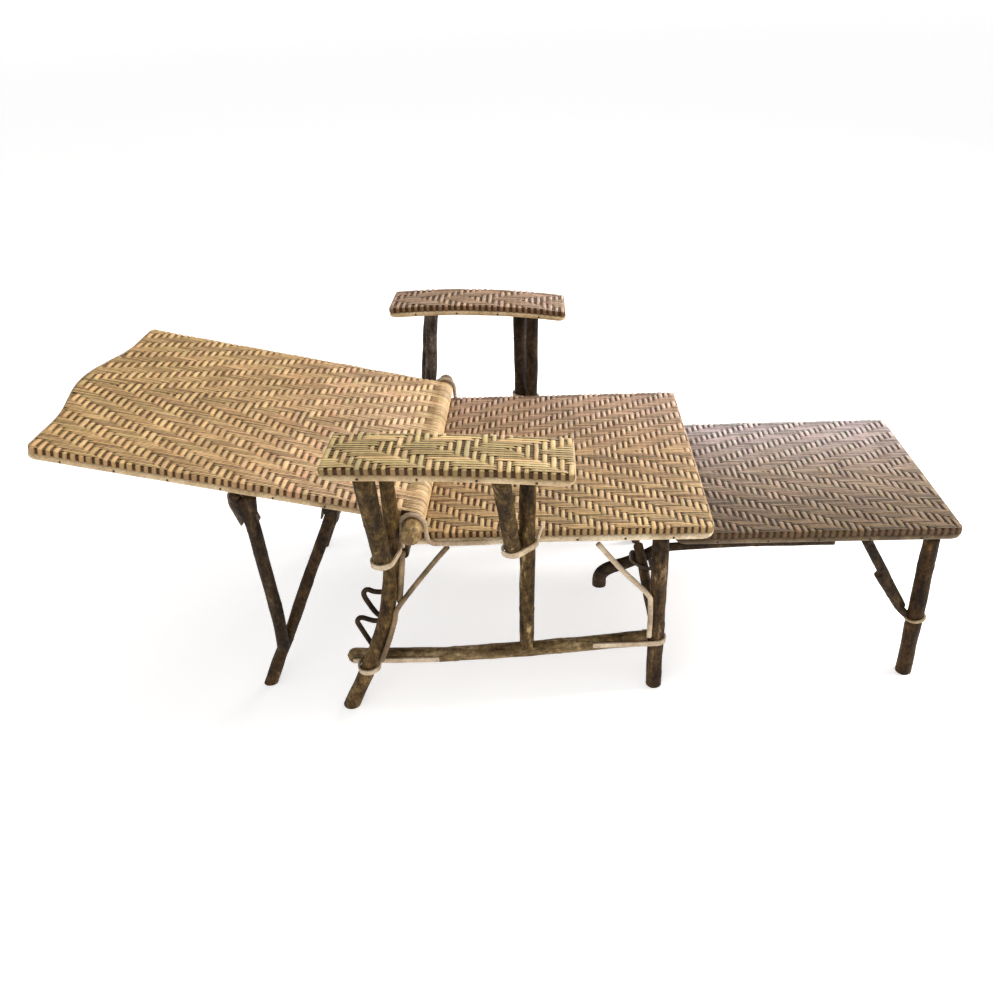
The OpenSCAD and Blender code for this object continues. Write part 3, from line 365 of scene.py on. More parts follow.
def sweep(points, radii, seed, sides=16, closed=False, rough=0.035, nodes_at=(), node_size=0.06,
          wander=0.5, step=7.0, floor=False, deep=1.0, ref=(0, 1, 0), ends=(0.8, 0.8)):
    """Rings of an uneven natural bar along a run of points: vertices, quads, triangles and cut marks."""
    base = np.asarray(points, float)
    radii = np.atleast_1d(np.asarray(radii, float))
    pts, s = resample(base, step, closed)
    n = len(pts)
    length = s[-1] if s[-1] > 0 else 1.0
    run = np.concatenate([[0], np.cumsum(np.linalg.norm(np.diff(base, axis=0), axis=1))])
    if len(radii) != len(base):
        radii = np.interp(np.linspace(0, 1, len(base)), np.linspace(0, 1, len(radii)), radii)
    r = np.interp(s, run, radii)
    if closed:
        tangent = np.roll(pts, -1, 0) - np.roll(pts, 1, 0)
    else:
        tangent = np.gradient(pts, axis=0)
    tangent /= np.linalg.norm(tangent, axis=1)[:, None]
    a = np.cross(tangent, ref)
    a /= np.linalg.norm(a, axis=1)[:, None]
    b = np.cross(tangent, a)

    # Slight bends, thicker nodes and a section that isn't quite round
    fade = np.ones(n) if closed else np.clip(np.minimum(s, length - s) / 40.0, 0, 1)
    sway = a * ripple(s, seed + 1, (160, 90, 60), (0.55, 0.3, 0.1))[:, None]
    sway = sway + b * ripple(s, seed + 2, (150, 85, 55), (0.55, 0.3, 0.1))[:, None]
    pts = pts + sway * (wander * fade)[:, None]
    scale = 1 + rough * 0.5 * ripple(s, seed + 3, (60, 130, 30), (0.5, 0.3, 0.2))
    for at in nodes_at:
        gap = (s - at * length) / 4.5
        scale = scale + node_size * np.exp(-gap * gap) - 0.4 * node_size * np.exp(-((gap - 1.9) ** 2))
    theta = np.linspace(0, 2 * np.pi, sides, endpoint=False)
    lobes = np.random.default_rng(seed)
    wave = 0
    for k, size in ((2, 0.6), (3, 0.3), (5, 0.15)):
        turn = lobes.uniform(0, 6.28) + ripple(s, seed + 5 + k, (220, 140, 90), (1.2, 0.8, 0.3))
        wave = wave + size * np.cos(k * theta[None, :] + turn[:, None])
    ring = (r * scale)[:, None] * (1 + rough * wave)
    ring = np.minimum(ring, (r + 0.75)[:, None])
    co = pts[:, None, :] + ring[:, :, None] * (deep * np.cos(theta)[None, :, None] * a[:, None, :]
                                              + np.sin(theta)[None, :, None] * b[:, None, :])
    if floor:
        low = co[..., 2] < 0
        shift = np.where(low, -co[..., 2] / tangent[:, 2][:, None], 0)
        co = co + shift[..., None] * tangent[:, None, :]
    verts = [co.reshape(-1, 3)]
    cut = [np.zeros(n * sides)]
    rows = n if closed else n - 1
    i, k = np.meshgrid(np.arange(rows), np.arange(sides), indexing="ij")
    j, m = (i + 1) % n, (k + 1) % sides
    quads = np.stack([i * sides + k, i * sides + m, j * sides + m, j * sides + k], -1).reshape(-1, 4)
    if closed:
        return verts[0], quads, np.zeros((0, 3)), cut[0]

    # Ends: a worn ring, the cut's own ring and a middle point
    tris = []
    count = n * sides
    for end, row, way in ((0, 0, -1), (1, n - 1, 1)):
        rim, centre = co[row], co[row].mean(0)
        worn = centre + (rim - centre) * 0.93 + tangent[row] * way * 0.5 * ends[end]
        if floor and end == 0:
            worn[:, 2] = rim[:, 2]
        last = row * sides + np.arange(sides)
        for new, bare in ((worn, 0), (centre + (worn - centre) * 0.97, 1)):
            verts.append(new)
            cut.append(np.full(sides, bare))
            now = count + np.arange(sides)
            count += sides
            q = np.stack([last, now, np.roll(now, -1), np.roll(last, -1)], 1)
            quads = np.vstack([quads, q if way < 0 else q[:, ::-1]])
            last = now
        verts.append(verts[-1].mean(0)[None])
        cut.append(np.ones(1))
        t = np.stack([last, np.full(sides, count), np.roll(last, -1)], 1)
        tris.append(t if way < 0 else t[:, ::-1])
        count += 1
    return np.vstack(verts), quads, np.vstack(tris), np.concatenate(cut)


def bar(name, runs, mat, body, slot, stands_for=(), seed=1, **how):
    """One piece of one or more natural bars; a run is (points, radii) or (points, radii, seed)."""
    verts, quads, tris, cut, at = [], [], [], [], 0
    for number, (points, radii, *own_seed) in enumerate(runs):
        run_seed, = own_seed or [seed + 31 * number]
        v, q, t, c = sweep(points, radii, seed=run_seed, **how)
        verts.append(v)
        quads.append(q + at)
        tris.append(t + at)
        cut.append(c)
        at += len(v)
    return make(name, place(np.vstack(verts)), np.vstack(quads), [MAT[mat]], body, stands_for,
                {"cut": np.concatenate(cut)}, tris=np.vstack(tris))


def mirrored(points):
    return np.asarray(points, float) * [1, -1, 1]


# Weave
TURN_R = 4.0
OVER_EDGE = np.array([0.8, 2.8, 4.8, 6.6, 9.0, TURN_R * math.pi / 2 - TURN_R + EDGE]) - 3.2
CROSS_LOW, CROSS_RISE = -2.6, 2.2
LONG_LOW, LONG_RISE = -2.3, 1.75
SHEET_TOP, SHEET_UNDER, SHEET_TURN = -3.3, -3.95, -4.3


def waves(x, y, seed):
    """Gentle unevenness of a mat, from -1 to 1."""
    r = np.random.default_rng(seed)
    total = 0
    for size, length in ((0.5, 190.0), (0.3, 95.0), (0.2, 50.0)):
        way = r.uniform(0, 6.28)
        along = x * math.cos(way) + y * math.sin(way)
        total = total + size * np.sin(2 * np.pi * (along / length + r.uniform()))
    return total


def fold(s, a, b, h, ends):
    """Run along a strand that turns down over both ends of a panel. s is measured along the strand in plan,
    from a to b and beyond; h is the height over the panel's surface. A wound end goes round the pole that
    the panel hangs on. Returns plan place, height and normal."""
    pos, z = s.copy(), h.copy()
    n_pos, n_z = np.zeros_like(s), np.ones_like(s)
    for way, end, on in ((-1, a, ends[0]), (1, b, ends[1])):
        if not on:
            continue
        bend, limit = (BACK_OVER, 6.0) if on == "wound" else (TURN_R, math.pi / 2)
        start = end - way * bend
        over = (s - start) * way
        turning = (over > 0) & (over <= bend * limit)
        down = over > bend * limit
        angle = np.clip(over / bend, 0, limit)
        pos = np.where(turning, start + way * (bend + h) * np.sin(angle), pos)
        z = np.where(turning, -bend + (bend + h) * np.cos(angle), z)
        pos = np.where(down, end + way * h, pos)
        z = np.where(down, -bend - (over - bend * limit), z)
        bent = turning | down
        n_pos = np.where(bent, way * np.sin(angle), n_pos)
        n_z = np.where(bent, np.cos(angle), n_z)
    return pos, z, n_pos, n_z


class Weave:
    """Strands of one mat. Plan coordinates are x (lengthwise) and y (crosswise); to_space maps (x, y, w) to
    hinge millimetres."""

    def __init__(self, to_space):
        self.to_space = to_space
        self.verts, self.quads, self.colours, self.flow, self.count, self.number = [], [], [], [], 0, 0

    def ribbon(self, axis, s, a, b, side, h, half, colour, shade, lift, ends, across, crown):
        """Add a strand along an axis; its colour has a row for each place along it."""
        pos, z, n_pos, n_z = fold(s, a, b, h, ends)
        across = np.asarray(across, float)
        drop = -crown * np.abs(across) ** 2.5
        x = pos[:, None] + n_pos[:, None] * drop
        w = z[:, None] + n_z[:, None] * drop + lift[:, None]
        y = side[:, None] + half[:, None] * across
        if axis == "y":
            x, y = y, x
        rows, cols = len(s), len(across)
        i, k = np.meshgrid(np.arange(rows - 1), np.arange(cols - 1), indexing="ij")
        first = i * cols + k
        quads = np.stack([first, first + 1, first + cols + 1, first + cols], -1).reshape(-1, 4) + self.count
        # Painted shade: each strand darkens towards its edges and wherever its shade number is below one,
        # turning warmer brown as it darkens.
        edge = 1 - 0.45 * np.abs(across) ** 4
        warm = np.array([1.0, 0.84, 0.64])
        shadow = np.clip(1 - shade, 0, 1)[:, None, None]
        tone = (shade[:, None] * edge[None, :])[:, :, None] * (1 + 1.3 * shadow * (warm - 1))
        self.verts.append(self.to_space(x.ravel(), y.ravel(), w.ravel()))
        self.quads.append(quads[:, ::-1] if axis == "y" else quads)
        self.colours.append((tone * colour[:, None, :]).reshape(-1, 3))
        self.flow.append(np.stack([np.repeat(s, cols), np.tile(across, rows) * np.repeat(half, cols),
                                   np.full(rows * cols, self.number * 7.3)], 1))
        self.count += rows * cols
        self.number += 1

    def build(self, name, body, stands_for):
        return make(name, place(np.vstack(self.verts)), np.vstack(self.quads), [MAT["strand"]], body,
                    stands_for, {"strand_colour": np.vstack(self.colours), "flow": np.vstack(self.flow)})


def mat_weave(name, body, slot, node, to_space, x0, x1, half, ends_x, side_y, over, warp_pitch, weft_pitch,
              tint, seed, y_mid=0.0, ends=(True, True), warp_half=3.75, low=0.36, side_shade=0.56,
              end_highlight=1.0):
    """Woven mat. ends_x(y) gives the ends of a lengthwise strand; side_y(x) gives the reach of a crosswise
    one, and whether it folds down at the sides. over(x, y) says whether the crosswise strand is on top
    there; tint(x, y) is the cane's colour, with painted sheen or painted highlight in some mats. The colour
    also carries painted shade: low is the shade of a strand where it lies under others, side_shade the
    shade on the turned-down sides; the end factor is a painted highlight on the turned-down far end."""
    weave = Weave(to_space)
    r = np.random.default_rng(seed)
    n_warp = int((x1 - x0) // warp_pitch)
    margin = ((x1 - x0) - (n_warp - 1) * warp_pitch) / 2
    xs = x0 + margin + warp_pitch * np.arange(n_warp)
    n_weft = int((2 * half - 3) // weft_pitch)
    ys = y_mid + weft_pitch * (np.arange(n_weft) - (n_weft - 1) / 2)
    slip = r.normal(0, 0.35, n_warp)
    grid = np.array([[bool(over(xs[i], ys[j] + slip[i] * weft_pitch * 0.7)) for j in range(n_weft)]
                     for i in range(n_warp)])

    def settled(s, lo, hi, bumps):
        return 0.35 * bumps * np.clip(np.minimum(s - lo, hi - s) / 30, 0, 1)

    # Crosswise strands, broad and raised
    for i, x in enumerate(xs):
        reach, folds = side_y(x)
        lo, hi = y_mid - reach, y_mid + reach
        state = np.repeat(np.where(grid[i], 1.0, 0.0), 2)
        y_at = np.repeat(ys, 2) + np.tile([-weft_pitch / 4, weft_pitch / 4], n_weft)
        inside = (y_at > lo + 3) & (y_at < hi - 3)
        extra = OVER_EDGE if folds else np.array([-1.0])
        s = np.concatenate([(lo - extra)[::-1], y_at[inside], hi + extra])
        outer = np.full(len(extra), 0.75 if folds else 0.2)
        up = np.concatenate([outer, state[inside], outer])
        soft = np.convolve(np.pad(up, 2, mode="edge"), [0.1, 0.22, 0.36, 0.22, 0.1], "valid")
        h = CROSS_LOW + CROSS_RISE * soft
        side = x + 0.7 * ripple(s, seed * 100 + i, (120, 61, 33), (0.5, 0.3, 0.2))
        width = warp_half * r.uniform(0.84, 1.12) * (1 + 0.08 * ripple(s, seed * 100 + i + 7, (47, 90, 21)))
        # Painted shade: darker where the strand dips under the lengthwise ones, and darker again on the
        # turned-down sides.
        shade = low + (1 - low) * np.clip(soft * 1.15, 0, 1)
        shade = shade * np.where((s < lo - 1) | (s > hi + 1), side_shade, 1)
        lift = settled(s, lo, hi, waves(x, s, seed))
        colour = tint(x, s) * r.uniform(0.84, 1.16) * (1 + 0.03 * r.normal(size=3))
        weave.ribbon("y", s, lo, hi, side, h, width, colour, shade, lift, (folds, folds), (-1, -0.5, 0.5, 1),
                     0.95)

    # Lengthwise strands, fine and close
    wound = ends[1] == "wound"
    for j, y in enumerate(ys):
        lo, hi = ends_x(y)
        if hi - lo < 20:
            continue
        state = np.where(grid[:, j], 0.0, 1.0)
        q = warp_pitch / 4
        x_at = (xs[:, None] + np.array([-q, 0, q, 2 * q])[None, :]).ravel()
        after = np.append(state[1:], state[-1])
        between = (state + after) / 2 - 0.12 * (state == after) * state
        up = np.stack([state, state, state, between], 1).ravel()
        inside = (x_at > lo + 3) & (x_at < (-10 if wound else hi - 3))
        head, tail = lo - OVER_EDGE[::-1], np.arange(-8.0, 108.0, 4.5) if wound else hi + OVER_EDGE
        s = np.concatenate([head, x_at[inside], tail])
        tail_up = 0.55 if wound else 0.72
        up = np.concatenate([np.full(len(head), 0.72), up[inside], np.full(len(tail), tail_up)])
        soft = np.convolve(np.pad(up, 1, mode="edge"), [0.2, 0.6, 0.2], "valid")
        h = LONG_LOW + LONG_RISE * soft
        side = y + 0.34 * ripple(s, seed * 1000 + j, (140, 70, 37), (0.5, 0.3, 0.2))
        width = weft_pitch * 0.425 * r.uniform(0.82, 1.12)
        width = width * (1 + 0.05 * ripple(s, seed * 1000 + j + 7, (37, 80, 19)))
        # Painted shade where the strand dips under the crosswise ones and on the turned-down near end; the
        # part wound round the pole stays unshaded, and the far end gets a painted highlight.
        shade = low - 0.03 + (1.07 - low) * np.clip(soft * 1.05, 0, 1) ** 1.2
        if wound:
            shade = np.where(s > -8, 1.0, shade)
        else:
            shade = shade * np.where(s > hi - 5, end_highlight, 1)
        shade = shade * np.where(s < lo - 1, side_shade, 1)
        lift = settled(s, lo, hi, waves(s, y, seed))
        aged = 0.58 if r.uniform() < 0.15 else 1
        colour = tint(s, y) * r.uniform(0.7, 1.3) * aged * (1 + 0.03 * r.normal(size=3))
        weave.ribbon("x", s, lo, hi, side, h, width, colour, shade, lift, ends, (-1, 0, 1), 0.6)
    return weave.build(name, body, [node])


def shadow_sheet(name, body, to_space, outline):
    """Dark sheet of painted shade under the strands, seen through the gaps between them and turned down at
    the edge, with a paler woven underside.
    """
    loop = np.asarray(outline, float)
    n = len(loop)
    centre = loop.mean(0)
    normal = np.roll(loop, -1, 0) - np.roll(loop, 1, 0)
    normal = np.stack([normal[:, 1], -normal[:, 0]], 1)
    normal /= np.linalg.norm(normal, axis=1)[:, None]
    if np.sum(normal * (loop - centre)) < 0:
        normal = -normal
    rings = [np.column_stack([loop - normal * inset, np.full(n, w)]) for inset, w in (
        (3.6, SHEET_TOP), (2.6, SHEET_TURN), (2.6, -EDGE), (3.4, -EDGE), (3.4, SHEET_UNDER - 0.6),
        (4.4, SHEET_UNDER))]
    verts = np.vstack(rings + [[[*centre, SHEET_TOP]], [[*centre, SHEET_UNDER]]])
    k = np.arange(n)
    m = (k + 1) % n
    quads = np.vstack([np.stack([i + k, i + m, i + n + m, i + n + k], 1) for i in range(0, 5 * n, n)])
    top, under = len(verts) - 2, len(verts) - 1
    tris = np.vstack([np.stack([np.full(n, top), m, k], 1),
                      np.stack([np.full(n, under), 5 * n + k, 5 * n + m], 1)])
    # The top and the turned-down side take the painted shade; the bottom lip and the underside take the
    # underside material.
    look = np.concatenate([np.zeros(2 * n), np.ones(3 * n), np.zeros(n), np.ones(n)])
    pts = to_space(verts[:, 0], verts[:, 1], verts[:, 2])
    return make(name, place(pts), quads, [MAT["gap"], MAT["under"]], body, tris=tris, faces_mat=look,
                is_smooth=False)


def arc(cx, cy, r, a0, a1, n=8):
    t = np.radians(np.linspace(a0, a1, n + 1))
    return np.stack([cx + r * np.cos(t), cy + r * np.sin(t)], 1)


def round_rect(x0, x1, half, r, y_mid=0.0):
    return np.vstack([arc(x1 - r, y_mid - half + r, r, -90, 0), arc(x1 - r, y_mid + half - r, r, 0, 90),
                      arc(x0 + r, y_mid + half - r, r, 90, 180), arc(x0 + r, y_mid - half + r, r, 180, 270)])


def corner_cut(into, r):
    """How far a round corner draws an edge in, at a distance into the corner."""
    into = max(into, 0)
    return r - math.sqrt(max(r * r - into * into, 0))


def rect_ends(x0, x1, half, y_mid=0.0, r=CORNER):
    """Ends of a lengthwise strand and reach of a crosswise one on a panel with round corners."""
    def ends_x(y):
        cut = corner_cut(abs(y - y_mid) - (half - r), r)
        return x0 + cut, x1 - cut

    def side_y(x):
        return half - corner_cut(max(x0 + r - x, x - (x1 - r)), r), True
    return ends_x, side_y


def twill(slope, period, share, phase, y_mid=0.0):
    """Chevrons of a mat: the crosswise strand is on top for a share of each period, which moves away from
    the middle from one strand to the next."""
    def over(x, y):
        return ((abs(y - y_mid) - slope * x) / period + phase) % 1.0 < share
    return over


def blend_tint(*stops, axis=0, seed=5):
    """Colour that drifts from one end of a mat to the other, with soft uneven patches; the drift is the
    cane's own colour and, in some mats, painted sheen or painted light.
    """
    at = np.array([p for p, _ in stops], float)
    colours = np.array([c for _, c in stops], float)

    def tint(x, y):
        base = np.stack([np.interp((x, y)[axis], at, colours[:, k]) for k in range(3)], -1)
        return base * (1 + 0.09 * waves(x, y, seed))[..., None]
    return tint


# Seat and footrest
SHEET_INSET = 1.5


def level(panel):
    return lambda x, y, w: np.stack([x, y, panel["top"] + w], 1)


def level_mat(label, body, panel, over, pitch, colours, tint_seed, seed, end_highlight):
    """Mat of a level panel and the dark sheet of painted shade under it; its colours go from the near side
    to the far side, with painted sheen in the far colours.
    """
    x0, x1, half = panel["x0"], panel["x1"], panel["half"] - SHEET_INSET
    tint = blend_tint(*zip((-half, 0, half), colours), axis=1, seed=tint_seed)
    mat_weave(f"{label}_strands", body, f"woven_{label}", f"{label}_weave", level(panel), x0, x1, half,
              *rect_ends(x0, x1, half), over, pitch, 4.0, tint, seed, end_highlight=end_highlight)
    shadow_sheet(f"{label}_mat_sheet", body, level(panel), round_rect(x0, x1, half, CORNER))


# The seat's colour turns paler and pinker towards the far side, partly the cane's own drift and partly
# painted sheen; the footrest runs from darker at the near side to a pale, lilac painted sheen at the far
# side. The end factor paints a highlight along the turned-down front edge.
level_mat("seat", "frame", SEAT, twill(0.62, 51.0, 0.47, 0.083), 11.15,
          ((0.67, 0.46, 0.225), (0.65, 0.425, 0.23), (0.60, 0.40, 0.29)), 3, 3, end_highlight=1.4)
level_mat("footrest", "footrest", FOOT, twill(0.52, 49.0, 0.47, 0.058), 11.6,
          ((0.19, 0.115, 0.045), (0.39, 0.285, 0.20), (0.58, 0.49, 0.50)), 6, 4, end_highlight=1.15)


# Back
def back_space(x, y, w):
    w = w + BACK_OVER
    return np.stack([x * math.cos(SLOPE) + w * math.sin(SLOPE), y,
                     HINGE[2] - x * math.sin(SLOPE) + w * math.cos(SLOPE)], 1)


def head_edge(y):
    crest = CREST * (1 + np.cos(np.pi * np.asarray(y) / CREST_HALF)) / 2
    return np.where(np.abs(y) < CREST_HALF, crest, 0.0)


hb = BACK_HALF - SHEET_INSET
BACK_REACH = BACK_LEN - SHEET_INSET
MAT_START, SHEET_START = 15.0, 16.0


def back_ends(y):
    cut = corner_cut(abs(y) - (hb - CORNER), CORNER)
    return -(BACK_REACH + float(head_edge(y)) - cut), BACK_OVER


def back_side(x):
    if -x <= BACK_REACH - 4:
        return hb - corner_cut(-x - (BACK_REACH - CORNER), CORNER), True
    rise = min(max((-x + 5 - BACK_REACH) / CREST, 0), 1)
    return max(CREST_HALF * math.acos(2 * rise - 1) / math.pi - 6, 8), False


def back_outline(inset, start):
    half, r, reach = BACK_HALF - inset, CORNER - inset / 2, BACK_LEN - inset
    t = np.linspace(half - r, -half + r, 41)
    head = np.stack([-(reach + head_edge(t)), t], 1)
    return np.vstack([[[-start, half]], arc(-reach + r, half - r, r, 90, 165, 6), head,
                      arc(-reach + r, -half + r, r, 195, 270, 6), [[-start, -half]]])


# Towards the hinge pole the back's colour turns paler and warmer: painted light on the strands wound round
# the pole, where they lie in shade.
mat_weave("back_strands", "back", "woven_back", "back_weave", back_space, -(BACK_LEN + CREST - 2),
          -MAT_START, hb, back_ends, back_side, twill(0.52, 50.0, 0.49, 0.508, y_mid=-8.0), 12.4, 4.0,
          blend_tint((-630, (0.73, 0.49, 0.225)), (-300, (0.77, 0.51, 0.265)), (-60, (0.91, 0.63, 0.40)),
                     (0, (0.94, 0.66, 0.36)), seed=9),
          5, ends=(True, "wound"), warp_half=4.15, low=0.52)
shadow_sheet("back_mat_sheet", "back", back_space, back_outline(SHEET_INSET, SHEET_START))


# Armrests
def arm_space(arch, side):
    def space(x, y, w):
        return np.stack([x, side * y, arm_z(x, arch) + w], 1)
    return space


ARM_CORNER = 8.0
ax0, ax1 = ARM_MID - ARM_LEN / 2, ARM_MID + ARM_LEN / 2
ay, ah = (ARM_IN + ARM_OUT) / 2, ARM_HALF - 1
tints = {"near": [(0.72, 0.53, 0.25), (0.80, 0.59, 0.29)], "far": [(0.56, 0.37, 0.24), (0.54, 0.35, 0.23)]}
for label, arch, side in ARMS:
    first, last = tints[label]
    weave = mat_weave(f"arm_strands_{label}", "frame", f"woven_arm_{label}", f"arm_weave_{label}",
                      arm_space(arch, side), ax0, ax1, ah, *rect_ends(ax0, ax1, ah, ay, ARM_CORNER),
                      twill(0.60, 61.0, 0.45, 0.02, y_mid=ay - 8), 12.4, 6.4,
                      blend_tint((ax0, first), (ax1, last), seed=12), 20 + side, y_mid=ay, warp_half=3.6,
                      low=0.46, side_shade=0.38)
    if side < 0:
        weave.data.flip_normals()
    outline = round_rect(ax0, ax1, ah, ARM_CORNER, ay)
    xs = np.linspace(ax0 + 9, ax1 - 9, 20)
    outline = np.vstack([outline[:18], np.stack([xs[::-1], np.full(20, ay + ah)], 1), outline[18:],
                         np.stack([xs, np.full(20, ay - ah)], 1)])
    shadow_sheet(f"arm_mat_sheet_{label}", "frame", arm_space(arch, side), outline)


# Edge canes
def ring_cane(name, outline, z, d, to_space, body, slot, node, mat, seed, closed=True):
    pts = to_space(outline[:, 0], outline[:, 1], np.full(len(outline), z))
    return bar(name, [(pts, d / 2)], mat, body, slot, [node], sides=12, closed=closed, seed=seed, rough=0.02,
               nodes_at=(0.12, 0.37, 0.62, 0.88), node_size=0.07, wander=0.18, step=6.0, ref=(0, 0, 1))


def edge_cane(name, panel, *rest):
    """Cane under the edge of a level panel."""
    inset = panel["rim"] / 2
    outline = round_rect(panel["x0"] + inset, panel["x1"] - inset, panel["half"] - inset, CORNER)
    ring_cane(name, outline, -EDGE - CLEAR - inset, panel["rim"], level(panel), *rest)


edge_cane("seat_edge", SEAT, "frame", "seat_edge_cane", "seat_rim", "rim_seat", 51)
edge_cane("footrest_edge", FOOT, "footrest", "edge_cane", "footrest_rim", "rim_foot", 52)
ring_cane("back_edge", back_outline(BACK_RIM / 2, POLE_R + WRAP + 1), -EDGE - CLEAR - BACK_RIM / 2, BACK_RIM,
          back_space, "back", "edge_cane", "back_rim", "rim", 53, closed=False)
for label, arch, side in ARMS:
    inset = ARM_RIM / 2
    loop = round_rect(ax0 + inset, ax1 - inset, ARM_HALF - inset, 12, ay)
    loop = resample(np.column_stack([loop, np.zeros(len(loop))]), 9.0, True)[0]
    ring_cane(f"arm_edge_{label}", loop[:, :2], -EDGE - CLEAR - inset, ARM_RIM, arm_space(arch, side),
              "frame", "edge_cane", f"arm_rim_{label}", "rim", 54 + side)


# Legs, stretchers and posts
LEG_R, LEG_TOP = 14.5, 11.5
LEG_SIDE = SEAT["half"] + CLEAR + LEG_R + (LEG_TOP - LEG_R) * 0.66 + 0.5
STRETCH_R, STRETCH_Z = 13.5, 92.0
POST_R, REAR_STRUT_R, FRONT_STRUT_R = 13.0, 15.5, 14.0
CANE_R = 4.5


def forward(arch, shift):
    return shift if arch == FAR_ARCH else 0


def rear_run(arch):
    s = LEG_SIDE
    f = forward(arch, 1)
    top = -26 + 8 * f
    return smooth([[-149, s + 9, -5], [-113, s + 9, 70], [-79, s + 7, 145], [-58, s + 4, 210],
                   [-43, s + 1, 289], [-36, s, 340], [-30 + 2 * f, s + 5, 400],
                   [-27 + 5 * f, ARM_FRAME_IN - 3, 462], [top, ARM_FRAME_IN, arm_under(top, arch)]])


LEG_RUN = rear_run(NEAR_ARCH)


def on_run(z, k):
    return float(np.interp(z, LEG_RUN[:, 2], LEG_RUN[:, k]))


def leg_r(z):
    return LEG_R + (LEG_TOP - LEG_R) * z / arm_under(-26, NEAR_ARCH)


STRETCH_Y = on_run(STRETCH_Z, 1) - leg_r(STRETCH_Z) - CLEAR - STRETCH_R - 0.3
TAIL, TIP = 148.0, FRONT_LEG[0] - LEG_R - CLEAR - 0.8


def stretcher_at(x):
    """Middle of a stretcher, which rises to the front and sags a little."""
    t = (x + TAIL) / (TIP + TAIL)
    sag = 12 * math.sin(math.pi * max(t, 0) ** 0.75)
    return np.array([x, STRETCH_Y + (FRONT_LEG[1] - STRETCH_Y) * t, STRETCH_Z + 16 * t - sag])


def post_ends(arch):
    z0 = stretcher_at(173)[2] + STRETCH_R + CLEAR
    top = np.array([190, ARM_FRAME_IN, arm_under(190, arch)])
    t = (top[2] - SEAT["top"]) / (top[2] - z0)
    beside_seat = SEAT["half"] + CLEAR + POST_R + 1.2
    return np.array([173, (beside_seat - (1 - t) * top[1]) / t, z0]), top


def post_at(z, arch):
    a, b = post_ends(arch)
    return a + (b - a) * (z - a[2]) / (b[2] - a[2])


def rear_strut(arch):
    z = 324.0
    away = leg_r(z) + CLEAR + REAR_STRUT_R + 0.3
    top = -42 + forward(arch, 18)
    return np.array([[on_run(z, 0) - 9, on_run(z, 1) + away, z], [top, ARM_FRAME_OUT, arm_under(top, arch)]])


def front_strut(arch):
    z, back = 333.0, 22
    p = post_at(z, arch)
    away = POST_R + CLEAR + FRONT_STRUT_R + 0.5
    top = 153 + forward(arch, 9)
    return np.array([[p[0] - back, p[1] + math.sqrt(away ** 2 - back ** 2), z],
                     [top, ARM_FRAME_OUT, arm_under(top, arch)]])


def pole(name, label, points, radii, mat, seed, nodes_at, stands_for=(), **how):
    """Bark pole of the frame; its points are given for the far side."""
    side = dict(SIDES)[label]
    how = {"node_size": 0.04, **how}
    bar(f"{name}_{label}", [(np.asarray(points) * [1, side, 1], radii)], mat, "frame", "pole_bark",
        stands_for, seed=seed, nodes_at=nodes_at, **how)


for label, arch, side in ARMS:
    x, y = FRONT_LEG
    start = -TAIL + STRETCH_R
    knob = [stretcher_at(start) - [13.0 * math.sin(math.radians(a)), 0, 0] for a in (90, 72, 54, 36, 18)]
    run = np.vstack([knob, [stretcher_at(v) for v in np.linspace(start, TIP, 24)]])
    radii = np.concatenate([[1.5, 4.6, 8.2, 11.1, 12.9], np.full(24, 13.4)])
    pole("rear_leg_pole", label, rear_run(arch), [LEG_R, LEG_TOP], "golden_up" if side < 0 else "grey_up",
         60 + side, (0.3, 0.66), [f"rear_leg_{label}"], floor=True, rough=0.045)
    pole("front_leg_pole", label, [[x, y, 0], [x, y, SEAT_UNDER - 0.7]], LEG_R, "brown_up", 63 + side,
         (0.42,), [f"front_leg_{label}"], node_size=0.05, rough=0.05, ends=(0, 0.8))
    pole("stretcher_pole", label, run, radii, "tan_long", 66 + side, (0.36, 0.71), [f"stretcher_{label}"],
         node_size=0.05, rough=0.04, step=4.0)
    pole("arm_post_pole", label, post_ends(arch), POST_R, "olive_up" if side < 0 else "dark_up", 69 + side,
         (0.22, 0.58), [f"arm_post_{label}"], node_size=0.05, rough=0.04)

# The near struts stand for the CAD nodes, which hold both sides
pole("rear_strut_pole", "near", rear_strut(NEAR_ARCH), [14.5, REAR_STRUT_R], "olive_up", 72, (0.5,),
     ["arm_rear_struts"], rough=0.05)
pole("rear_strut_pole", "far", rear_strut(FAR_ARCH), [14.5, REAR_STRUT_R], "brown_up", 73, (0.5,),
     rough=0.05)
pole("front_strut_pole", "near", front_strut(NEAR_ARCH), [13, FRONT_STRUT_R], "olive_up", 75, (0.62,),
     ["arm_front_struts"], rough=0.05)
pole("front_strut_pole", "far", front_strut(FAR_ARCH), [13, FRONT_STRUT_R], "dark_up", 76, (0.62,),
     rough=0.05)


# Braces and racks
def both(points, radius, *seed):
    return [(np.asarray(points, float), radius, *seed), (mirrored(points), radius, *seed)]


def leg_front(z, away, turn=0.0):
    """Place of a cane beside the rear leg, turned round it from the front."""
    reach, turn = leg_r(z) + CANE_R + away, math.radians(turn)
    return [on_run(z, 0) + reach * math.cos(turn), on_run(z, 1) + reach * math.sin(turn), z]


def on_leg(x, z):
    return [x, on_run(z, 1) - leg_r(z) - CANE_R + 0.8, z]


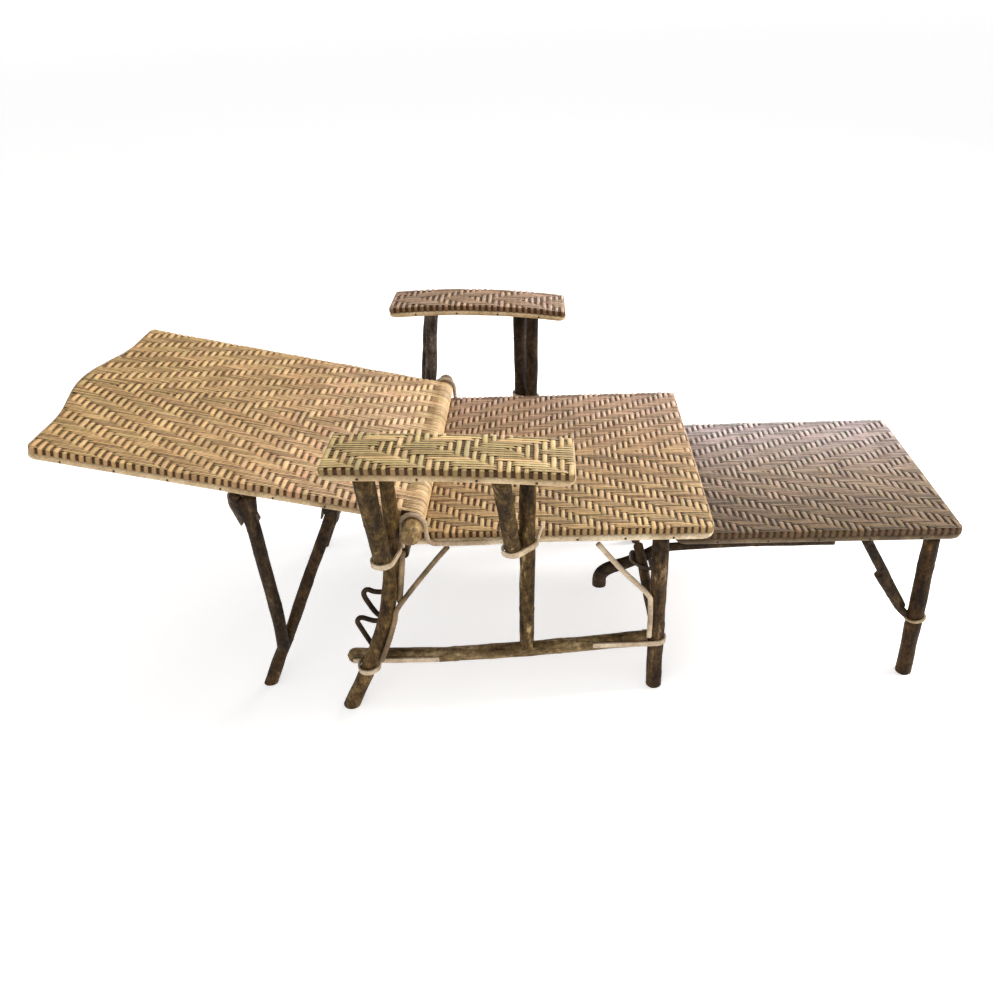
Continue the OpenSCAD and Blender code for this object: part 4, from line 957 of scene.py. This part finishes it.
aside = (LEG_R + CANE_R + 0.4) * math.sqrt(0.5)
bx, by = FRONT_LEG[0] - aside, FRONT_LEG[1] + aside
front_brace = smooth([[297, 254, SEAT_UNDER - 5.5], [339, 254, SEAT_UNDER - 62], [bx - 6, by, 216],
                      [bx, by, 192], [bx, by, 122.5]])
rear_brace = smooth([[51, 254, SEAT_UNDER - 5.5], [16, 259, 281], leg_front(222, 2, 20),
                     leg_front(196, 1.2, 30), leg_front(160, 1.4, 35), leg_front(111.5, 1.6, 35)])
leg_cane = smooth([leg_front(326, 0.3), leg_front(290, 0.4), leg_front(250, 0.6), leg_front(226, 1.0, -8)])
bar("front_brace_canes", both(front_brace, CANE_R), "pale", "frame", "pale_cane", ["front_braces"], sides=12,
    seed=80, rough=0.02, nodes_at=(0.45,), wander=0.3)
bar("rear_brace_canes", both(rear_brace, CANE_R) + both(leg_cane, 4.9), "tan_up", "frame", "pale_cane",
    ["rear_braces"], sides=12, seed=83, rough=0.02, nodes_at=(0.4,), wander=0.3)

rack = smooth([on_leg(-46, 240), [-62, 255, 232], [-82, 250, 229], [-93, 250, 234], [-100, 250, 229],
               [-100, 250, 217], [-85, 254, 188], on_leg(-71, 179), [-88, 257, 171], [-112, 250, 173],
               [-120, 250, 166], [-118, 250, 155], on_leg(-98, 124)], 6)
for label, side in SIDES:
    bar(f"notch_cane_{label}", [(rack * [1, side, 1], CANE_R)], "dark_up", "frame", "dark_bark",
        [f"notch_rack_{label}"], sides=12, seed=86 + side, rough=0.03, wander=0.1, step=3.5)

# Loose tail of the strap round the near front strut and post
x, y, z = post_at(336, NEAR_ARCH)
tail = smooth([[x + 14.5, y + 2, z], [x + 18, y - 1, 350], [x + 25, y - 2, 372]])
bar("strap_tail", [(mirrored(tail), [3.4, 2.6])], "pale", "frame", "pale_cane", sides=12, seed=91,
    rough=0.02, wander=0.05, step=4.0)

# Loop of cane over each end of the hinge pole, with a tail along the seat's edge
hz, loop_r = HINGE[2], 20.4
turn = np.radians(np.linspace(180, 0, 15))
loop_y = SEAT["half"] + CLEAR + 4.0
ring = np.stack([loop_r * np.cos(turn), np.full(15, loop_y), hz + loop_r * np.sin(turn)], 1)
tail = [(20.6, 352), (22.6, 340), (30, 335), (46, 334), (80, 334.4), (118, 335)]
loop = np.vstack([[[-loop_r, loop_y, 330], [-loop_r, loop_y, 350]], ring, [[x, loop_y, z] for x, z in tail],
                  [[150, loop_y - 1.5, 335.6]]])
bar("hinge_loop_canes", both(loop, 3.8), "pale", "frame", "pale_cane", ["hinge_loops"], sides=12, seed=90,
    rough=0.02, wander=0.05, step=4.0)

# Hinge pole, bare and worn at its ends
worn = [(-305, 8.5), (-303.6, 11.8), (-301, 14.4), (-297, 15.7), (-292, POLE_R)]
run = np.array([[0, y, hz] for y, _ in worn] + [[0, -y, hz] for y, _ in worn[::-1]])
bar("hinge_pole_bar", [(run, [r for _, r in worn + worn[::-1]])], "golden_across", "back", "pole_bark",
    ["hinge_pole"], ref=(1, 0, 0), seed=93, nodes_at=(0.04, 0.955), node_size=0.03, rough=0.035, wander=0.2,
    step=2.5)


# Prop
STRUT_Y, STRUT_R, PROP_LEG_R = 238.5, 12.0, 12.0
head = centre_of("prop_head_bar") - [HINGE[0], 0, 0]
pivot = centre_of("prop_pivot_pole") - [HINGE[0], 0, 0]
leg_y = STRUT_Y - STRUT_R - CLEAR - PROP_LEG_R + 0.5
strut = [(head[0] + 3.5, head[2] - 5), (head[0] + 6.5, head[2] - 22), (-268.5, 367), (-266, 293),
         (-263, 167), (-266, 96)]
strut = smooth([[x, STRUT_Y, z] for x, z in strut])
stub = smooth([[x, STRUT_Y, z] for x, z in ((-268.5, 352), (-266, 392), (-262.5, 418))])
prop_leg = smooth([[pivot[0] - 4, leg_y, pivot[2] - 13.5], [-152, leg_y, 345], [-210, leg_y, 218],
                   [-265, leg_y + 1, 98], [-287, leg_y + 5, 54], [-317, leg_y + 9, -14]])[::-1]
for label, side in SIDES:
    flip = [1, side, 1]
    bar(f"prop_strut_pole_{label}", [(strut * flip, [STRUT_R, 11.0]), (stub * flip, 10.8)], "dark_up",
        "prop", "dark_bark", [f"prop_strut_{label}"], seed=96 + side, nodes_at=(0.35, 0.7), node_size=0.04,
        rough=0.025, wander=0.1)
    bar(f"prop_leg_pole_{label}", [(prop_leg * flip, [PROP_LEG_R, 9])], "umber_up", "prop", "dark_bark",
        [f"prop_leg_{label}"], seed=99 + side, nodes_at=(0.3, 0.62), rough=0.06, floor=True)


# Footrest legs, runners and braces
foot_carry = FOOT["top"] - max(MAT_T + 2 * RAIL_R, EDGE + FOOT["rim"]) - 2 * CLEAR
rail_y, rail_z = FOOT["half"] - 2 * RAIL_R - CLEAR, FOOT["top"] - MAT_T - CLEAR - RAIL_R
leg_x, hook_y, hook_r, hook_deep = FOOT["x1"] - 51, 194, 6.5, 1.35
inner_y = hook_y + 9.5 + CLEAR + 9 + 0.3
hook_z = rail_z - math.sqrt((RAIL_R + hook_r * hook_deep + 0.1) ** 2 - (hook_y - rail_y) ** 2)


def foot_leg_at(z):
    t = z / foot_carry
    return [leg_x + 5 * t, 217 + (192 - 217) * t, z]


legs = np.array([foot_leg_at(z) for z in (-4, 80, 170, foot_carry - 0.6)])
inner = [(411, -4), (404, 79), (398, 126), (390, 171), (382, 216), (376, 247), (367, 288)]
inner = smooth([[x, inner_y, z] for x, z in inner])
hook = [(701, 2.4), (560, 2.4), (440, -1), (403, -5.5), (383, -17.5), (349, -33.5), (319, -44.5),
        (305, -58.5), (303, -80.5)]
hook = smooth([[x, hook_y, hook_z + z] for x, z in hook])
for label, side in SIDES:
    flip = [1, side, 1]
    bar(f"footrest_leg_pole_{label}", [(legs * flip, [14, 13.5])], "umber_up", "footrest", "pole_bark",
        [f"footrest_leg_{label}"], seed=102 + side, floor=True, nodes_at=(0.37, 0.8), rough=0.05)
    bar(f"footrest_inner_pole_{label}", [(inner * flip, [9, 8.5])], "brown_up", "footrest", "pole_bark",
        [f"footrest_inner_leg_{label}"], seed=105 + side, floor=True, nodes_at=(0.4,), rough=0.05)
    bar(f"crook_pole_{label}", [(hook * flip, [4.8, 4.8, 5.6, 7.0, 7.8, 8.6, 9.1, 9.4, 9.2])], "dark_long",
        "footrest", "dark_bark", [f"crook_arm_{label}"], seed=108 + side, nodes_at=(0.3,), rough=0.04,
        wander=0.2, step=5.0, deep=hook_deep)

x, y, z = foot_leg_at(118)
brace = smooth([[757, rail_y, foot_carry - 5.2], [779, rail_y + 3, 235], [801, rail_y + 6, 198],
                [x - 14.3 - 9, y - 12, 132]])
flat = smooth([[790, rail_y + 4, 203], [815, rail_y + 8, 163], [834, rail_y + 13, 134],
               [847, rail_y + 18, 121]])
band = np.array([[x + 16 * math.cos(t), y + 16 * math.sin(t), z + 2.5 * math.cos(t)]
                 for t in np.linspace(0, 2 * math.pi, 28, endpoint=False)])
bar("footrest_brace_canes", both(brace, 8.6) + both(flat, [9.0, 6.6], 113), "dark_up", "footrest",
    "dark_bark", ["footrest_braces"], sides=14, seed=111, rough=0.05, nodes_at=(0.5,))
bar("footrest_brace_bands", both(band, 2.6), "tan", "footrest", "dark_bark", closed=True, ref=(0, 0, 1),
    sides=10, seed=115, wander=0.0, step=3.0)


# CAD pieces that keep their shape
KEPT = {
    "brown_across": ["front_bearer", "rear_bearer", "seat_cross_rails", "back_cross_rails",
                     "footrest_cross_rails"],
    "brown_long": [f"{panel}_rail_{label}" for panel in ("seat", "back", "footrest") for label, _ in SIDES],
    "dark_across": ["prop_pivot_pole", "prop_head_bar"],
    "tan": ["arm_frame_near", "arm_frame_far"],
    "pale": ["frame_straps"],
    "brown_cane": ["prop_straps", "footrest_straps"],
    "iron": ["frame_nails", "back_nails", "footrest_nails"],
}
for mat, nodes in KEPT.items():
    for node in nodes:
        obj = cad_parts[node]
        obj.data.materials.clear()
        obj.data.materials.append(MAT[mat])
        strap = mat in ("pale", "brown_cane")
        if strap:
            soft = obj.modifiers.new("soft_edge", "BEVEL")
            soft.width = 0.0012
            soft.segments = 3
            soft.angle_limit = math.radians(50)
        for face in obj.data.polygons:
            face.use_smooth = strap or len(face.vertices) <= 4


# Camera, as solved from the photograph
FOCAL, SHIFT, PICTURE = 860.07, (-27.14, -1.74), 995
yaw, pitch, roll = math.radians(-2.4055), math.radians(31.5318), math.radians(-2.5339)
ahead = Vector((math.sin(yaw) * math.cos(pitch), math.cos(yaw) * math.cos(pitch), -math.sin(pitch)))
right = Vector((math.cos(yaw), -math.sin(yaw), 0))
up = right.cross(ahead)
r_axis = math.cos(roll) * right + math.sin(roll) * up
u_axis = -math.sin(roll) * right + math.cos(roll) * up
camera = bpy.data.objects.new("camera", bpy.data.cameras.new("camera"))
bpy.context.scene.collection.objects.link(camera)
camera.matrix_world = Matrix((
    (r_axis.x, u_axis.x, -ahead.x, HINGE[0] * 0.001 + 0.22867),
    (r_axis.y, u_axis.y, -ahead.y, -1.4076),
    (r_axis.z, u_axis.z, -ahead.z, 1.1247),
    (0, 0, 0, 1)))
camera.data.sensor_width = 36
camera.data.lens = FOCAL * 36 / PICTURE
camera.data.shift_x = SHIFT[0] / PICTURE
camera.data.shift_y = SHIFT[1] / PICTURE
camera.data.clip_end = 200
bpy.context.scene.camera = camera


# Floor with walls far away, and lights
corners = ((-40, -40), (40, -40), (40, 40), (-40, 40))
floor_mesh = bpy.data.meshes.new("floor")
floor_mesh.from_pydata([(x, y, z) for z in (0, 13) for x, y in corners], [],
                       [(0, 1, 2, 3), (0, 1, 5, 4), (1, 2, 6, 5), (2, 3, 7, 6), (3, 0, 4, 7)])
floor = bpy.data.objects.new("floor", floor_mesh)
bpy.context.scene.collection.objects.link(floor)
white = plain_look("floor_white", 0.9, 0.0, (0.9, 0.9, 0.9))
white.bsdf.inputs["Emission Color"].default_value = (1, 1, 1, 1)
white.bsdf.inputs["Emission Strength"].default_value = 0.5
floor_mesh.materials.append(white.material)


def area(name, at, aim, size, power, colour):
    data = bpy.data.lights.new(name, "AREA")
    data.shape = "RECTANGLE"
    data.size, data.size_y = size
    data.energy = power
    data.color = colour
    obj = bpy.data.objects.new(name, data)
    bpy.context.scene.collection.objects.link(obj)
    obj.location = at
    obj.rotation_euler = (Vector(aim) - Vector(at)).to_track_quat("-Z", "Y").to_euler()


area("key", (2.7, 0.4, 2.0), (0.1, 0, 0.3), (1.1, 1.1), 105, (1.0, 0.95, 0.87))
area("sheen", (1.3, 2.6, 1.1), (0.6, 0, 0.32), (1.6, 0.8), 34, (0.96, 0.95, 1.0))
area("front", (-0.8, -3.0, 2.2), (0, 0, 0.35), (2.5, 1.5), 18, (1.0, 0.98, 0.94))
world = bpy.data.worlds.new("studio")
world.use_nodes = True
world.node_tree.nodes["Background"].inputs["Color"].default_value = (1, 1, 1, 1)
world.node_tree.nodes["Background"].inputs["Strength"].default_value = 0.46
bpy.context.scene.world = world
bpy.context.scene.view_settings.view_transform = "Standard"
